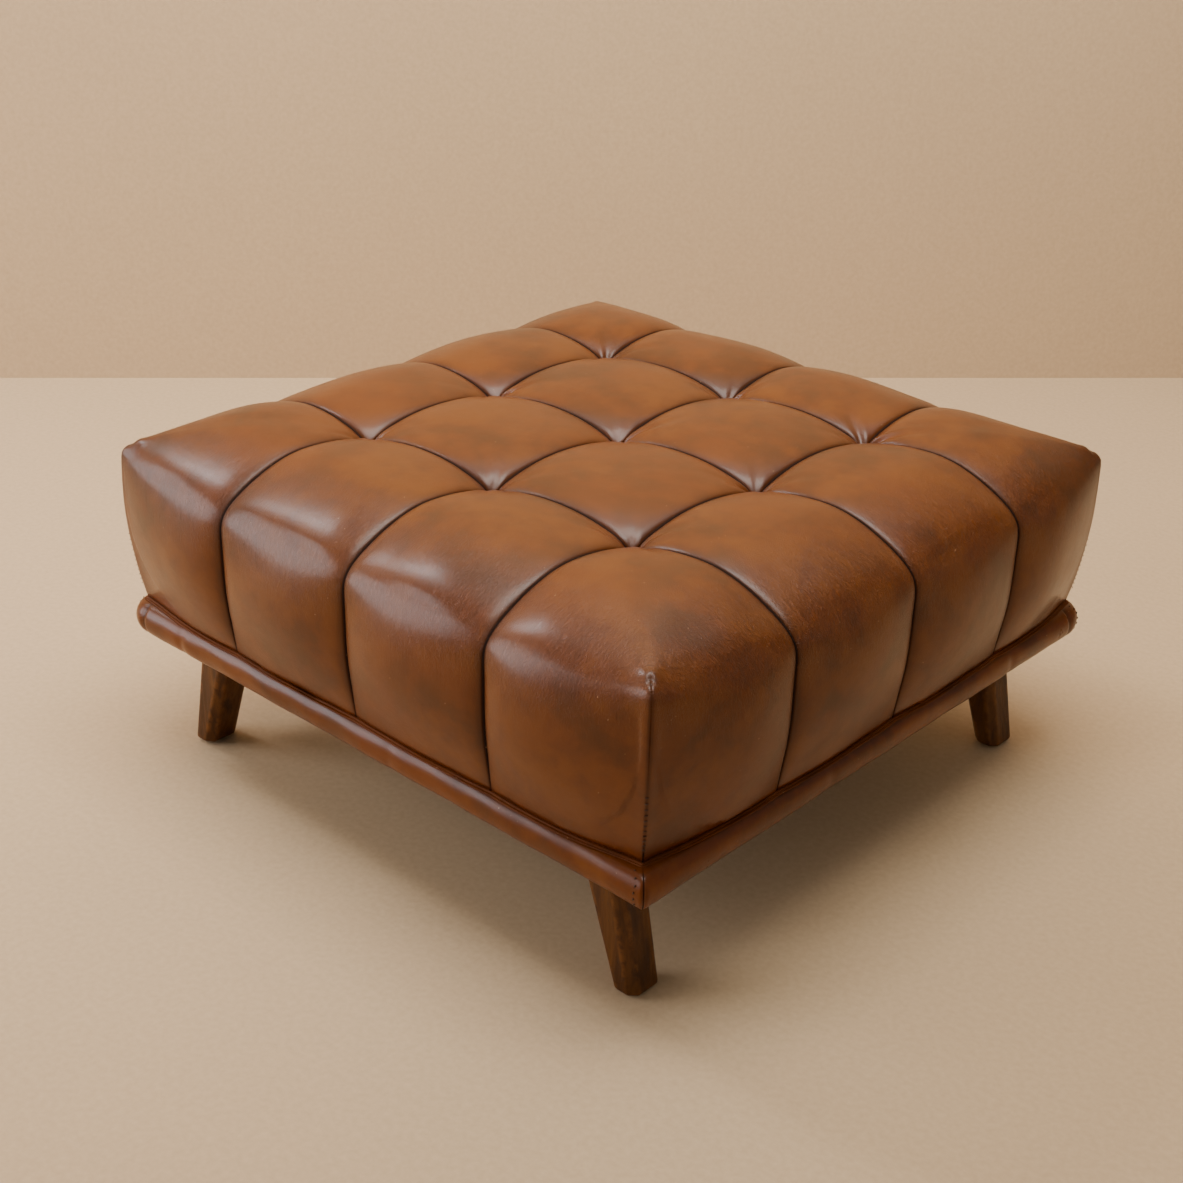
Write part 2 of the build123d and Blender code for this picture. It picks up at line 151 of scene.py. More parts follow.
# %% Node helpers
class Net:
    """A node tree. Each call adds a node, feeds its inputs with numbers, colours or the results of other
    nodes, and returns its result."""

    def __init__(self, tree):
        self.tree = tree

    def feed(self, node, inputs):
        """Sets or links the inputs of a node, given by their names or numbers."""
        for title, value in inputs.items():
            if isinstance(value, bpy.types.NodeSocket):
                self.tree.links.new(value, node.inputs[title])
            else:
                node.inputs[title].default_value = value

    def node(self, kind, inputs, **settings):
        node = self.tree.nodes.new("ShaderNode" + kind)
        for title, value in settings.items():
            setattr(node, title, value)
        self.feed(node, inputs)
        return node

    def place(self):
        """Where a point lies in its object."""
        return self.node("TexCoord", {}).outputs["Object"]

    def stored(self, title):
        """Number that a piece stores on its points."""
        return self.node("Attribute", {}, attribute_name=title).outputs["Fac"]

    def maths(self, operation, *values, clamp=False):
        return self.node("Math", dict(enumerate(values)), operation=operation, use_clamp=clamp).outputs[0]

    def scaled(self, value, factor):
        return self.maths("MULTIPLY", value, factor)

    def noise(self, vector, scale, detail=3.0, roughness=0.5, distortion=0.0):
        inputs = {"Vector": vector, "Scale": scale, "Detail": detail}
        inputs |= {"Roughness": roughness, "Distortion": distortion}
        return self.node("TexNoise", inputs).outputs["Fac"]

    def band(self, value, low, high):
        """Number that goes smoothly from 0 at low to 1 at high."""
        inputs = {"Value": value, "From Min": low, "From Max": high}
        return self.node("MapRange", inputs, interpolation_type="SMOOTHSTEP").outputs["Result"]

    def mix(self, weight, first, second, blend="MIX"):
        inputs = {0: weight, 6: first, 7: second}
        return self.node("Mix", inputs, data_type="RGBA", blend_type=blend).outputs[2]

    def ramp(self, value, dark, mid, pale):
        """Colour that goes from dark over mid to pale as the value goes from 0 to 1."""
        node = self.node("ValToRGB", {0: value})
        elements = node.color_ramp.elements
        elements.new(0.5)
        for element, position, colour in zip(elements, (0.0, 0.5, 1.0), (dark, mid, pale)):
            element.position, element.color = position, colour
        return node.outputs["Color"]

    def bump(self, height, strength, distance):
        inputs = {"Height": height, "Strength": strength, "Distance": distance}
        return self.node("Bump", inputs).outputs["Normal"]

    def group(self, shared, **inputs):
        """Results of a shared effect, placed here with its own numbers."""
        return self.node("Group", inputs, node_tree=shared).outputs


def new_material(name):
    """Material, its net and its shader."""
    material = bpy.data.materials.new(name)
    material.use_nodes = True
    return material, Net(material.node_tree), material.node_tree.nodes["Principled BSDF"]


print("calls of a net:", [title for title in vars(Net) if not title.startswith("_")])

# %% [markdown]
# ## The studio
# A plain pale floor meets a plain pale wall far behind the ottoman. A high soft light at the left gives
# the pale sheen on the shoulders, and a low one beside it fills the near flank. A wide one hangs above,
# one more washes the wall, and a weak sky fills the rest.

# %% Floor and wall
WALL_LEFT, WALL_RIGHT = np.array([-1750.0, 167.0, 0.0]), np.array([-127.0, 1890.0, 0.0])
ROOM_REACH, ROOM_DEPTH, ROOM_HEIGHT = 9000.0, 12000.0, 6000.0
PAPER, PAPER_SPREAD = (0.57, 0.405, 0.24), 0.03


def studio_paper():
    """Matt sheeting with faint clouds and fibres. Its back can't be seen, so that the ottoman can be
    looked at from behind the wall and from under the floor."""
    material, net, shader = new_material("studio_paper")
    low, high = [(*[tint * (1 + spread) for tint in PAPER], 1) for spread in (-PAPER_SPREAD, PAPER_SPREAD)]
    clouds = net.mix(net.noise(net.place(), 2.2, 6.0), low, high)
    fibres = net.noise(net.place(), 130.0, 5.0)
    behind = net.node("NewGeometry", {}).outputs["Backfacing"]
    net.feed(shader, {
        "Base Color": net.mix(0.16, clouds, fibres, "OVERLAY"),
        "Roughness": 0.9,
        "Alpha": net.maths("SUBTRACT", 1.0, behind),
    })
    return material


paper = studio_paper()
along = (WALL_RIGHT - WALL_LEFT) / np.linalg.norm(WALL_RIGHT - WALL_LEFT)
toward, up = np.array([along[1], -along[0], 0.0]) * ROOM_DEPTH, np.array([0, 0, ROOM_HEIGHT])
left, right = WALL_LEFT - along * ROOM_REACH, WALL_RIGHT + along * ROOM_REACH
corners = {
    "floor": [left, left + toward, right + toward, right],
    "wall": [left, right, right + up, left + up],
}
floor, wall = [make_piece(title, corners[title], [(0, 1, 2, 3)], [paper], smooth=False) for title in corners]
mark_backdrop(floor, wall)


# %% Lights
def soft_light(name, place, size, power, colour, aim=(0, 0, 0.3)):
    """Square area light that faces the middle of the pad, or another aim."""
    lamp = bpy.data.lights.new(name, "AREA")
    lamp.size, lamp.energy, lamp.color = size, power, colour
    holder = bpy.data.objects.new(name, lamp)
    bpy.context.scene.collection.objects.link(holder)
    holder.location = place
    holder.rotation_euler = (Vector(aim) - Vector(place)).to_track_quat("-Z", "Y").to_euler()


# name, place in metres, side in metres, watts, colour and aim
soft_light("window", (-2.8, -0.2, 2.4), 1.6, 315.0, (0.92, 0.95, 1.0))
soft_light("side_window", (-2.5, -2.5, 1.25), 2.0, 88.0, (0.98, 0.97, 1.0))
soft_light("ceiling", (-0.3, 0.5, 3.3), 3.4, 50.0, (1.0, 0.95, 0.87))
soft_light("backdrop", (0.1, -0.15, 3.1), 2.0, 130.0, (1.0, 0.96, 0.9), (-1.7, 1.5, 1.6))
world = bpy.data.worlds.new("sky")
bpy.context.scene.world = world
world.use_nodes = True
world.node_tree.nodes["Background"].inputs["Color"].default_value = (1.0, 0.93, 0.85, 1)
world.node_tree.nodes["Background"].inputs["Strength"].default_value = 0.32
print("lights:", [lamp.name for lamp in bpy.data.lights])

# %% [markdown]
# ## Effects that several finishes share
# Mottling, fine grain and creases turn up in every leather, and streaks in every wood. Each is one node
# group that is placed in each material with its own numbers. A group only hands out masks and heights,
# and the shader itself stays in the material.

# %% Mottle, grain and creases
def new_group(name, inputs, outputs):
    """Net of an empty node group, the outlets of its inputs, and the node that takes its results. An
    input without a number of its own is a vector."""
    group = bpy.data.node_groups.new(name, "ShaderNodeTree")
    for title, value in inputs.items():
        kind = "NodeSocketVector" if value is None else "NodeSocketFloat"
        socket = group.interface.new_socket(title, in_out="INPUT", socket_type=kind)
        if value is not None:
            socket.default_value = value
    for title in outputs:
        group.interface.new_socket(title, in_out="OUTPUT", socket_type="NodeSocketFloat")
    return Net(group), group.nodes.new("NodeGroupInput").outputs, group.nodes.new("NodeGroupOutput")


def build_mottle():
    """Cloudy mask: broad clouds with smaller ones inside, as dye sits in hide."""
    net, given, result = new_group("mottle", {"Vector": None, "Scale": 9.0}, ["Mask"])
    broad = net.noise(given["Vector"], given["Scale"], 4.0, 0.55, 0.6)
    small = net.noise(given["Vector"], net.scaled(given["Scale"], 4.3), 5.0, 0.6, 0.3)
    clouds = net.maths("MULTIPLY_ADD", broad, 0.65, net.scaled(small, 0.35))
    net.feed(result, {"Mask": net.band(clouds, 0.36, 0.64)})
    return net.tree


def build_grain():
    """Height of fine leather grain: small rounded pebbles, broken up by finer noise."""
    net, given, result = new_group("hide_grain", {"Vector": None, "Scale": 620.0}, ["Height"])
    inputs = {"Vector": given["Vector"], "Scale": given["Scale"]}
    pebbles = net.node("TexVoronoi", inputs, feature="DISTANCE_TO_EDGE").outputs["Distance"]
    fine = net.noise(given["Vector"], net.scaled(given["Scale"], 1.7), 3.0, 0.6)
    net.feed(result, {"Height": net.maths("MULTIPLY_ADD", net.band(pebbles, 0.0, 0.28), 0.6, fine)})
    return net.tree


def build_creases():
    """Height of fine drawn creases. Around runs along the edge and Down over it, so noise that is
    pressed together along Around and drawn out along Down gives short lines that fall over the edge."""
    net, given, result = new_group("drawn_creases", {"Around": 0.0, "Down": 0.0, "Scale": 95.0}, ["Height"])
    drawn = net.node("CombineXYZ", {"X": given["Around"], "Y": net.scaled(given["Down"], 0.28)}).outputs[0]
    lines = net.noise(drawn, given["Scale"], 4.0, 0.62, 1.1)
    ridge = net.maths("ABSOLUTE", net.maths("SUBTRACT", lines, 0.5))
    net.feed(result, {"Height": net.band(ridge, 0.0, 0.16)})
    return net.tree


mottle_group, grain_group, crease_group = build_mottle(), build_grain(), build_creases()
print("node groups:", [group.name for group in bpy.data.node_groups])

# %% [markdown]
# ## The leather
# The cover is smooth pull-up leather: waxed hide with cloudy, uneven tone. Its colour also carries painted
# shade: it darkens over the valleys towards each seam and goes nearly black in the seam itself. A photo
# texture would slide over the stuffed cells, so the finish is built from noise on object coordinates,
# with the stretch and the creases read from numbers that each piece stores on its points.

# %% Leather material
LEATHER_DARK = (0.052, 0.014, 0.0006, 1)
LEATHER_MID = (0.112, 0.0245, 0.0002, 1)
LEATHER_PALE = (0.165, 0.044, 0.0005, 1)
# painted shade: nearly black down in the seams, and dark brown over the valleys beside them
LEATHER_SEAM_SHADE = (0.007, 0.0016, 0.0002, 1)
LEATHER_VALLEY_SHADE = (0.032, 0.007, 0.0002, 1)
LEATHER_WARM = (0.145, 0.031, 0.0002, 1)
LEATHER_SPECK = (0.5, 0.3, 0.16, 1)
VALLEY_SHADE_SHARE, SEAM_SHADE_SHARE, SPECK_SHARE, EVEN_SHARE = 0.45, 0.95, 0.5, 0.42
GLOSS_SPREAD, SEAM_DULLNESS, COAT_ROUGHNESS, SPECULAR_LEVEL = 0.2, 0.5, 0.28, 0.17
CREASE_SCALE, GRAIN_SCALE = 300.0, 620.0
# noises: scale, detail, roughness and distortion
WARM_NOISE, SPECK_NOISE = (5.5, 4.0, 0.55, 0.4), (240.0, 1.0, 0.4)
SHEEN_NOISE, WAVE_NOISE = (34.0, 5.0, 0.6), (42.0, 2.0, 0.5)
# bands: the values at which a mask starts and is full
WARM_BAND, SPECK_BAND, VALLEY_SHADE_BAND, SEAM_SHADE_BAND, COAT_BAND = (
    (0.42, 0.66), (0.79, 0.83), (0.95, 0.2), (0.2, 0.03), (0.1, 0.4)
)


def leather(name, mottle_scale, grain_depth, crease_depth, wave_depth, roughness, warmth, coat):
    """Pull-up leather. The piece may carry stretch (0 in a seam, 1 on a crown), around and down (metres
    along and over an edge) and crease (how strongly it is creased). Depths are in millimetres."""
    material, net, shader = new_material(name)
    place, stretch = net.place(), net.stored("stretch")
    mask = net.group(mottle_group, Vector=place, Scale=mottle_scale)["Mask"]
    base = net.mix(EVEN_SHARE, net.ramp(mask, LEATHER_DARK, LEATHER_MID, LEATHER_PALE), LEATHER_MID)
    warm = net.band(net.noise(place, *WARM_NOISE), *WARM_BAND)
    # painted shade that darkens the leather over the valleys towards each seam
    valley_shade = net.band(stretch, *VALLEY_SHADE_BAND)
    # line: painted shade, nearly black, down in the seam grooves; it also makes them duller
    line = net.band(stretch, *SEAM_SHADE_BAND)
    speck = net.band(net.noise(place, *SPECK_NOISE), *SPECK_BAND)
    for part, share, colour in (
        (warm, warmth, LEATHER_WARM), (valley_shade, VALLEY_SHADE_SHARE, LEATHER_VALLEY_SHADE),
        (line, SEAM_SHADE_SHARE, LEATHER_SEAM_SHADE), (speck, SPECK_SHARE, LEATHER_SPECK),
    ):
        base = net.mix(net.scaled(part, share), base, colour)

    sheen = net.noise(place, *SHEEN_NOISE)
    gloss = net.maths("MULTIPLY_ADD", sheen, GLOSS_SPREAD, roughness - GLOSS_SPREAD / 2)
    around, down = net.stored("around"), net.stored("down")
    creases = net.group(crease_group, Around=around, Down=down, Scale=CREASE_SCALE)["Height"]
    crease_height = net.scaled(net.scaled(creases, net.stored("crease")), crease_depth)
    wave_height = net.scaled(net.noise(place, *WAVE_NOISE), wave_depth)
    grain = net.group(grain_group, Vector=place, Scale=GRAIN_SCALE)["Height"]
    grain_height = net.scaled(grain, grain_depth)
    height = net.maths("ADD", crease_height, net.maths("ADD", wave_height, grain_height))
    net.feed(shader, {
        "Base Color": base,
        "Roughness": net.maths("ADD", gloss, net.scaled(line, SEAM_DULLNESS), clamp=True),
        "Coat Weight": net.scaled(net.band(stretch, *COAT_BAND), coat),
        "Coat Roughness": COAT_ROUGHNESS,
        "Specular IOR Level": SPECULAR_LEVEL,
        "Normal": net.bump(height, 1.0, MM),
    })
    return material


pad_leather = leather(
    "pad_leather", mottle_scale=9.0, grain_depth=0.12, crease_depth=0.8, wave_depth=0.5,
    roughness=0.35, warmth=0.5, coat=0.46,
)
wrap_leather = leather(
    "wrap_leather", mottle_scale=12.0, grain_depth=0.04, crease_depth=0.05, wave_depth=0.2,
    roughness=0.31, warmth=0.7, coat=0.25,
)
lip_leather = leather(
    "lip_leather", mottle_scale=14.0, grain_depth=0.05, crease_depth=0.05, wave_depth=0.1,
    roughness=0.6, warmth=0.7, coat=0.0,
)
print("leathers:", pad_leather.name, wrap_leather.name, lip_leather.name)

# %% [markdown]
# ## Wood, metal and the rest
# The legs are dark stained walnut with a satin lacquer, rubbed paler along their cut edges. The timber,
# steel, twine and cloth inside the frame hardly show, yet each gets its own finish, because a part from
# a library can be seen from below or taken apart.

# %% Wood material
PORE = (0.01, 0.005, 0.002, 1)
FINE_SHARE, PORE_SHARE, WORN_SHARE, STREAK_DEPTH = 0.4, 0.6, 0.75, 0.25


def build_streaks():
    """Masks of long streaks: noise that is drawn out along the wood by the Stretch vector."""
    outputs = ["Broad", "Fine", "Pores"]
    net, given, result = new_group("wood_streaks", {"Vector": None, "Stretch": None}, outputs)
    inputs = {0: given["Vector"], 1: given["Stretch"]}
    drawn = net.node("VectorMath", inputs, operation="MULTIPLY").outputs[0]
    net.feed(result, {
        "Broad": net.band(net.noise(drawn, 0.14, 3.0, 0.55, 1.6), 0.3, 0.7),
        "Fine": net.band(net.noise(drawn, 1.1, 5.0, 0.65, 0.4), 0.25, 0.75),
        "Pores": net.band(net.noise(drawn, 3.4, 2.0, 0.5), 0.62, 0.72),
    })
    return net.tree


streak_group = build_streaks()


def wood(name, dark, mid, pale, stretch, roughness, coat, worn=None):
    """Long-grained wood. Stretch is larger across the grain than along it. A piece that is worn carries
    edge, which is 1 on its rubbed edges."""
    material, net, shader = new_material(name)
    place = net.place()
    streaks = net.group(streak_group, Vector=place, Stretch=stretch)
    base = net.mix(net.scaled(streaks["Fine"], FINE_SHARE), net.ramp(streaks["Broad"], dark, mid, pale), dark)
    base = net.mix(net.scaled(streaks["Pores"], PORE_SHARE), base, PORE)
    if worn is not None:
        patches = net.band(net.noise(place, 55.0, 4.0, 0.6), 0.42, 0.62)
        base = net.mix(net.scaled(net.scaled(net.stored("edge"), patches), WORN_SHARE), base, worn)
    net.feed(shader, {
        "Base Color": base,
        "Roughness": net.maths("MULTIPLY_ADD", streaks["Fine"], 0.14, roughness),
        "Specular IOR Level": 0.3,
        "Coat Weight": coat,
        "Coat Roughness": 0.25,
        "Normal": net.bump(net.maths("SUBTRACT", streaks["Fine"], streaks["Pores"]), 0.5, STREAK_DEPTH * MM),
    })
    return material


walnut = wood(
    "dark_walnut", (0.042, 0.012, 0.0006, 1), (0.09, 0.028, 0.0014, 1), (0.135, 0.046, 0.003, 1),
    (240.0, 240.0, 26.0), 0.42, 0.06, worn=(0.17, 0.058, 0.008, 1),
)
beech_colours = (0.42, 0.26, 0.12, 1), (0.52, 0.34, 0.18, 1), (0.6, 0.42, 0.25, 1)
beech_across = wood("beech_along_x", *beech_colours, (18.0, 220.0, 220.0), 0.6, 0.0)
beech_along = wood("beech_along_y", *beech_colours, (220.0, 18.0, 220.0), 0.6, 0.0)
plywood_colours = (0.3, 0.19, 0.1, 1), (0.5, 0.35, 0.2, 1), (0.62, 0.46, 0.29, 1)
plywood = wood("birch_plywood", *plywood_colours, (20.0, 160.0, 900.0), 0.62, 0.0)
print("woods:", walnut.name, beech_across.name, beech_along.name, plywood.name)


# %% Plain finishes
def speckled(name, low, high, scale, roughness, metallic=0.0, bump_depth=0.1, weave=0.0):
    """Finish with fine mottling, for metal, plastic and cloth. Weave above 0 crosses two rows of
    threads."""
    material, net, shader = new_material(name)
    place = net.place()
    height = mask = net.group(mottle_group, Vector=place, Scale=scale)["Mask"]
    for direction in ("X", "Y") if weave > 0 else ():
        inputs = {"Vector": place, "Scale": weave, "Distortion": 0.6}
        threads = net.node("TexWave", inputs, bands_direction=direction)
        height = net.maths("MAXIMUM", height, threads.outputs["Fac"])
    net.feed(shader, {
        "Base Color": net.mix(mask, (*low, 1), (*high, 1)),
        "Roughness": net.maths("MULTIPLY_ADD", mask, 0.12, roughness),
        "Metallic": metallic,
        "Normal": net.bump(height, 0.6, bump_depth * MM),
    })
    return material


# name, darker and paler colour, scale of the patches and roughness
steel = speckled(
    "zinc_plate", (0.5, 0.5, 0.48), (0.72, 0.71, 0.66), 160.0, 0.3, metallic=1.0, bump_depth=0.03,
)
twine = speckled("waxed_twine", (0.3, 0.2, 0.11), (0.5, 0.38, 0.24), 700.0, 0.6, bump_depth=0.2)
anchor_plastic = speckled(
    "pale_plastic", (0.68, 0.67, 0.63), (0.75, 0.74, 0.7), 60.0, 0.42, bump_depth=0.03,
)
glide_plastic = speckled(
    "brown_plastic", (0.02, 0.015, 0.011), (0.04, 0.03, 0.022), 90.0, 0.4, bump_depth=0.05,
)
lining_cloth = speckled(
    "black_lining", (0.012, 0.012, 0.013), (0.03, 0.03, 0.032), 240.0, 0.85, bump_depth=0.12, weave=35.0,
)
seam_thread = speckled("dark_thread", (0.025, 0.01, 0.004), (0.06, 0.025, 0.01), 900.0, 0.55)
print("finishes so far:", [material.name for material in bpy.data.materials])

# %% Finishes of the frame's own nodes
CORNERS = [f"{front}_{side}" for front in ("front", "back") for side in ("left", "right")]
blocks, glides = [[f"{title}_{corner}" for corner in CORNERS] for title in ("corner_block", "foot_glide")]
for finish, node_names in (
    (plywood, ["deck_board"]),
    (steel, ["deck_screws", "frame_screws", "leg_bolts", "tee_nuts"]),
    (twine, ["tuft_cords"]),
    (anchor_plastic, ["tuft_anchors"]),
    (beech_across, ["frame_rail_front", "frame_rail_back", *blocks]),
    (beech_along, ["frame_rail_left", "frame_rail_right", "stretcher_left", "stretcher_right"]),
    (glide_plastic, glides),
):
    for node_name in node_names:
        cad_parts[node_name].material_slots[0].material = finish
    print(finish.name, "on", *node_names)

# %% [markdown]
# ## The stuffed pad
# Each cell is a leather panel sewn to its neighbours and drawn down at the tufts, so it swells steeply
# from its seams and flattens towards its crown. The outer cells run on over the shoulder and down to
# the base. The form is worked out cell by cell from three outlines: one for a seam, one for a crown and
# one for the corner. The seam's is the one that the frame's solids have. The other two are a little
# fuller, because a stuffed cell is rounder than its solid.

# %% Pad sizes
cell_low, cell_high = [np.array(corner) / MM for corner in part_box("cushion_cell_r2_c2")]
PITCH = float(cell_high[0] - cell_low[0])
PAD_TOP = float(cell_high[2])
PAD_BOTTOM = float(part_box("cushion_cell_r1_c1")[0][2]) / MM
PAD_HEIGHT = PAD_TOP - PAD_BOTTOM
TUFT, SEAM_CREST = 0.784, 0.957
CREST_RUN = 0.46
# each outline: how far out from the last seam, in pitches, and how high, as a share of the pad's height
SEAM_OUTLINE = np.array([
    (0.46, 0.956), (0.857, 0.859), (1.03, 0.741), (1.045, 0.599), (1.036, 0.337), (0.987, 0.0),
])
CROWN_OUTLINE = np.array([
    (0.46, 1.0), (0.853, 0.909), (1.046, 0.785), (1.114, 0.61), (1.122, 0.34), (1.01, 0.0),
])
CORNER_OUTLINE = np.array([
    (0.46, 0.985), (0.8, 0.925), (0.955, 0.845), (0.988, 0.755), (0.985, 0.4), (0.918, 0.0),
])
# how far along the side, in pitches, and how strongly the corner's outline counts there
CORNER_PULL = np.array([(0.0, 0.0), (0.2, 0.02), (0.5, 0.2), (0.75, 0.55), (0.985, 1.0), (1.217, 1.5)])
FULLNESS, ROUNDNESS = 2.3, 0.5
RISE_LINES, FALL_LINES = 26, 56
print("pitch, pad bottom and pad top in mm:", PITCH, PAD_BOTTOM, PAD_TOP)


# %% Curves of the pad
def mixed(low, high, weight):
    """Between low and high, by a weight from 0 to 1."""
    return low + (high - low) * weight


def bell(value, middle, width):
    """Bell curve: 1 at the middle, and 0.37 a width away from it."""
    return np.exp(-(((value - middle) / width) ** 2))


def swell(share, fullness=2.0):
    """Quarter of a rounded square: 0 at a seam with an upright tangent, 1 with a level tangent at the
    crown. Fullness 2 is a quarter circle, and more is squarer."""
    return np.clip(1 - (1 - np.clip(share, 0, 1)) ** fullness, 0, 1) ** (1 / fullness)


def puff(share):
    """How far a stuffed cell has swollen, from 0 at its seam to 1 at its crown: partly a rounded square,
    which is steep beside the seam, and partly an even arch, which keeps the middle round."""
    return mixed(swell(share, FULLNESS), 1 - (1 - np.clip(share, 0, 1)) ** 2, ROUNDNESS)


def cubic_through(knots, values, at, start_slope=None):
    """Curve of cubic pieces whose slopes and bends agree at the knots. The bend at each knot comes from
    one set of linear equations, with no bend at a free end."""
    values = np.asarray(values, dtype=float).reshape(len(knots), -1)
    step = np.diff(knots)[:, None]
    rise = np.diff(values, axis=0) / step
    inner = np.arange(1, len(knots) - 1)
    system = np.eye(len(knots))
    target = np.zeros_like(values)
    system[inner, inner - 1], system[inner, inner + 1] = step[:-1, 0], step[1:, 0]
    system[inner, inner] = 2 * (step[:-1, 0] + step[1:, 0])
    target[inner] = 6 * (rise[1:] - rise[:-1])
    if start_slope is not None:
        system[0, :2] = 2 * step[0, 0], step[0, 0]
        target[0] = 6 * (rise[0] - start_slope)
    bend = np.linalg.solve(system, target)
    piece = np.clip(np.searchsorted(knots, at, side="right") - 1, 0, len(knots) - 2)
    h, before = step[piece], (np.asarray(at) - knots[piece])[:, None]
    after = h - before
    curve = (bend[piece] * after**3 + bend[piece + 1] * before**3) / (6 * h)
    curve += (values[piece] / h - bend[piece] * h / 6) * after
    return curve + (values[piece + 1] / h - bend[piece + 1] * h / 6) * before


aspect = np.array([PITCH, PAD_HEIGHT])
crown_steps = np.linalg.norm(np.diff(CROWN_OUTLINE * aspect, axis=0), axis=1)
knots = np.concatenate([[0], np.cumsum(crown_steps)])
fall_at = np.linspace(0, knots[-1], FALL_LINES + 1)
falls = {}
for title, table in (("seam", SEAM_OUTLINE), ("crown", CROWN_OUTLINE), ("corner", CORNER_OUTLINE)):
    falls[title] = cubic_through(knots, table, fall_at, start_slope=np.array([1 / PITCH, 0.0]))
print("length of a fall in mm:", round(float(knots[-1])))

# %% [markdown]
# The lines of the grid lie close together beside the seams, where the leather turns sharply, and wider
# apart on the crowns. Going outward, an outer cell first rises from the last tufts to its crest and then
# falls over the shoulder.

# %% Lines of the grid
rise_share = (np.arange(RISE_LINES + 1) / RISE_LINES) ** 1.5
rise_run = CREST_RUN * rise_share
OUTER_LINES = RISE_LINES + FALL_LINES
outer_swell = np.concatenate([swell(rise_share), np.ones(FALL_LINES)])
outer_length = np.concatenate([rise_run, CREST_RUN + fall_at[1:] / PITCH])
inner_share = np.concatenate([rise_share / 2, 1 - rise_share[-2::-1] / 2])
inner_arch = swell(2 * np.minimum(inner_share, 1 - inner_share))
inner_swell = puff(2 * np.minimum(inner_share, 1 - inner_share))
INNER_LINES = len(inner_share) - 1
print("lines from the middle outward:", INNER_LINES + OUTER_LINES)


def outer_section(arch, weight, pull, inner_crest):
    """Run outward and rise of the outline at places with a given arch and swell from the side seam and a
    given pull towards the corner. Each row is one place and each column a line of the outline."""
    arch, weight, pull = [np.asarray(value, dtype=float)[..., None] for value in (arch, weight, pull)]
    inner = mixed(TUFT, inner_crest, arch)
    crown = weight * (1 - SEAM_OUTLINE[0, 1]) + pull * (CORNER_OUTLINE[0, 1] - 1.0)
    rise = mixed(inner, SEAM_OUTLINE[0, 1], swell(rise_share)) + crown * puff(rise_share)
    run = np.broadcast_to(rise_run, rise.shape)
    fall = mixed(falls["seam"], falls["crown"], weight[..., None])
    fall = fall + pull[..., None] * (falls["corner"] - falls["crown"])
    return np.concatenate([run, fall[..., 1:, 0]], axis=-1), np.concatenate([rise, fall[..., 1:, 1]], axis=-1)


# %% Corner cell
def corner_form(run, line):
    """Run outward and rise at one run along the side, for each line of the outline: the seam's outline
    swells to the crown's beside the side seam, and the corner's pull grows towards the ridge."""
    arch, weight = swell(run / CREST_RUN), puff(run / CREST_RUN)
    pull = cubic_through(CORNER_PULL[:, 0], CORNER_PULL[:, 1], run.ravel())[:, 0].reshape(run.shape)
    section = outer_section(arch, weight, np.maximum(pull, 0), SEAM_OUTLINE[0, 1])
    return [np.take_along_axis(part, line[..., None], -1)[..., 0] for part in section]


HALVINGS, LONGEST_RUN, GATHER, GATHER_LINES = 40, 1.3, 0.7, 14
line = np.arange(OUTER_LINES + 1)
low, high = np.zeros(len(line)), np.full(len(line), LONGEST_RUN)
for _ in range(HALVINGS):
    middle = (low + high) / 2
    outward, _rise = corner_form(middle, line)
    low, high = np.where(outward > middle, middle, low), np.where(outward > middle, high, middle)
ridge_run = (low + high) / 2
across, down = np.meshgrid(line, line, indexing="ij")
share = np.minimum(outer_length[across] / np.maximum(outer_length[down], 1e-9), 1)
gathered = 1 + GATHER * np.clip((down - RISE_LINES) / GATHER_LINES, 0, 1)
run = ridge_run[down] * (1 - (1 - share) ** gathered)
outward, rise = corner_form(run, down)
half = np.stack([run, outward, rise], axis=-1)
mirrored_half = half.transpose(1, 0, 2)[..., [1, 0, 2]]
corner_cell = np.where((across <= down)[..., None], half, mirrored_half)
ridge_gap = (ridge_run[down] - run) * PITCH
ridge_gap = np.where(across <= down, ridge_gap, ridge_gap.T)
print("ridge at the base in mm:", round(float((1 + ridge_run[-1]) * PITCH), 1))

# %% Quarter of the pad
lines = INNER_LINES + OUTER_LINES + 1
quarter = np.zeros((lines, lines, 3))
inner_x, inner_y = np.meshgrid(inner_share, inner_share, indexing="ij")
swell_x, swell_y = np.meshgrid(inner_swell, inner_swell, indexing="ij")
arch_x, arch_y = np.meshgrid(inner_arch, inner_arch, indexing="ij")
inner_rise = TUFT + (SEAM_CREST - TUFT) * (arch_x + arch_y - arch_x * arch_y)
inner_rise += (1 - SEAM_CREST) * swell_x * swell_y
quarter[: INNER_LINES + 1, : INNER_LINES + 1] = np.stack([inner_x, inner_y, inner_rise], axis=-1)
edge_run, edge_rise = outer_section(inner_arch, inner_swell, 0 * inner_swell, SEAM_CREST)
edge = np.stack([np.broadcast_to(inner_share[:, None], edge_run.shape), 1 + edge_run, edge_rise], axis=-1)
quarter[: INNER_LINES + 1, INNER_LINES:] = edge
quarter[INNER_LINES:, : INNER_LINES + 1] = edge.transpose(1, 0, 2)[..., [1, 0, 2]]
quarter[INNER_LINES:, INNER_LINES:] = corner_cell + [1, 1, 0]
quarter = quarter * [PITCH, PITCH, PAD_HEIGHT] + [0, 0, PAD_BOTTOM]
print("quarter reaches, in mm:", quarter.reshape(-1, 3).max(axis=0).round(1))

# %% [markdown]
# Four mirrored quarters make the whole pad. Smoothing along the diagonals of the corner cells takes out
# the fold that mirroring leaves above the corner seams.

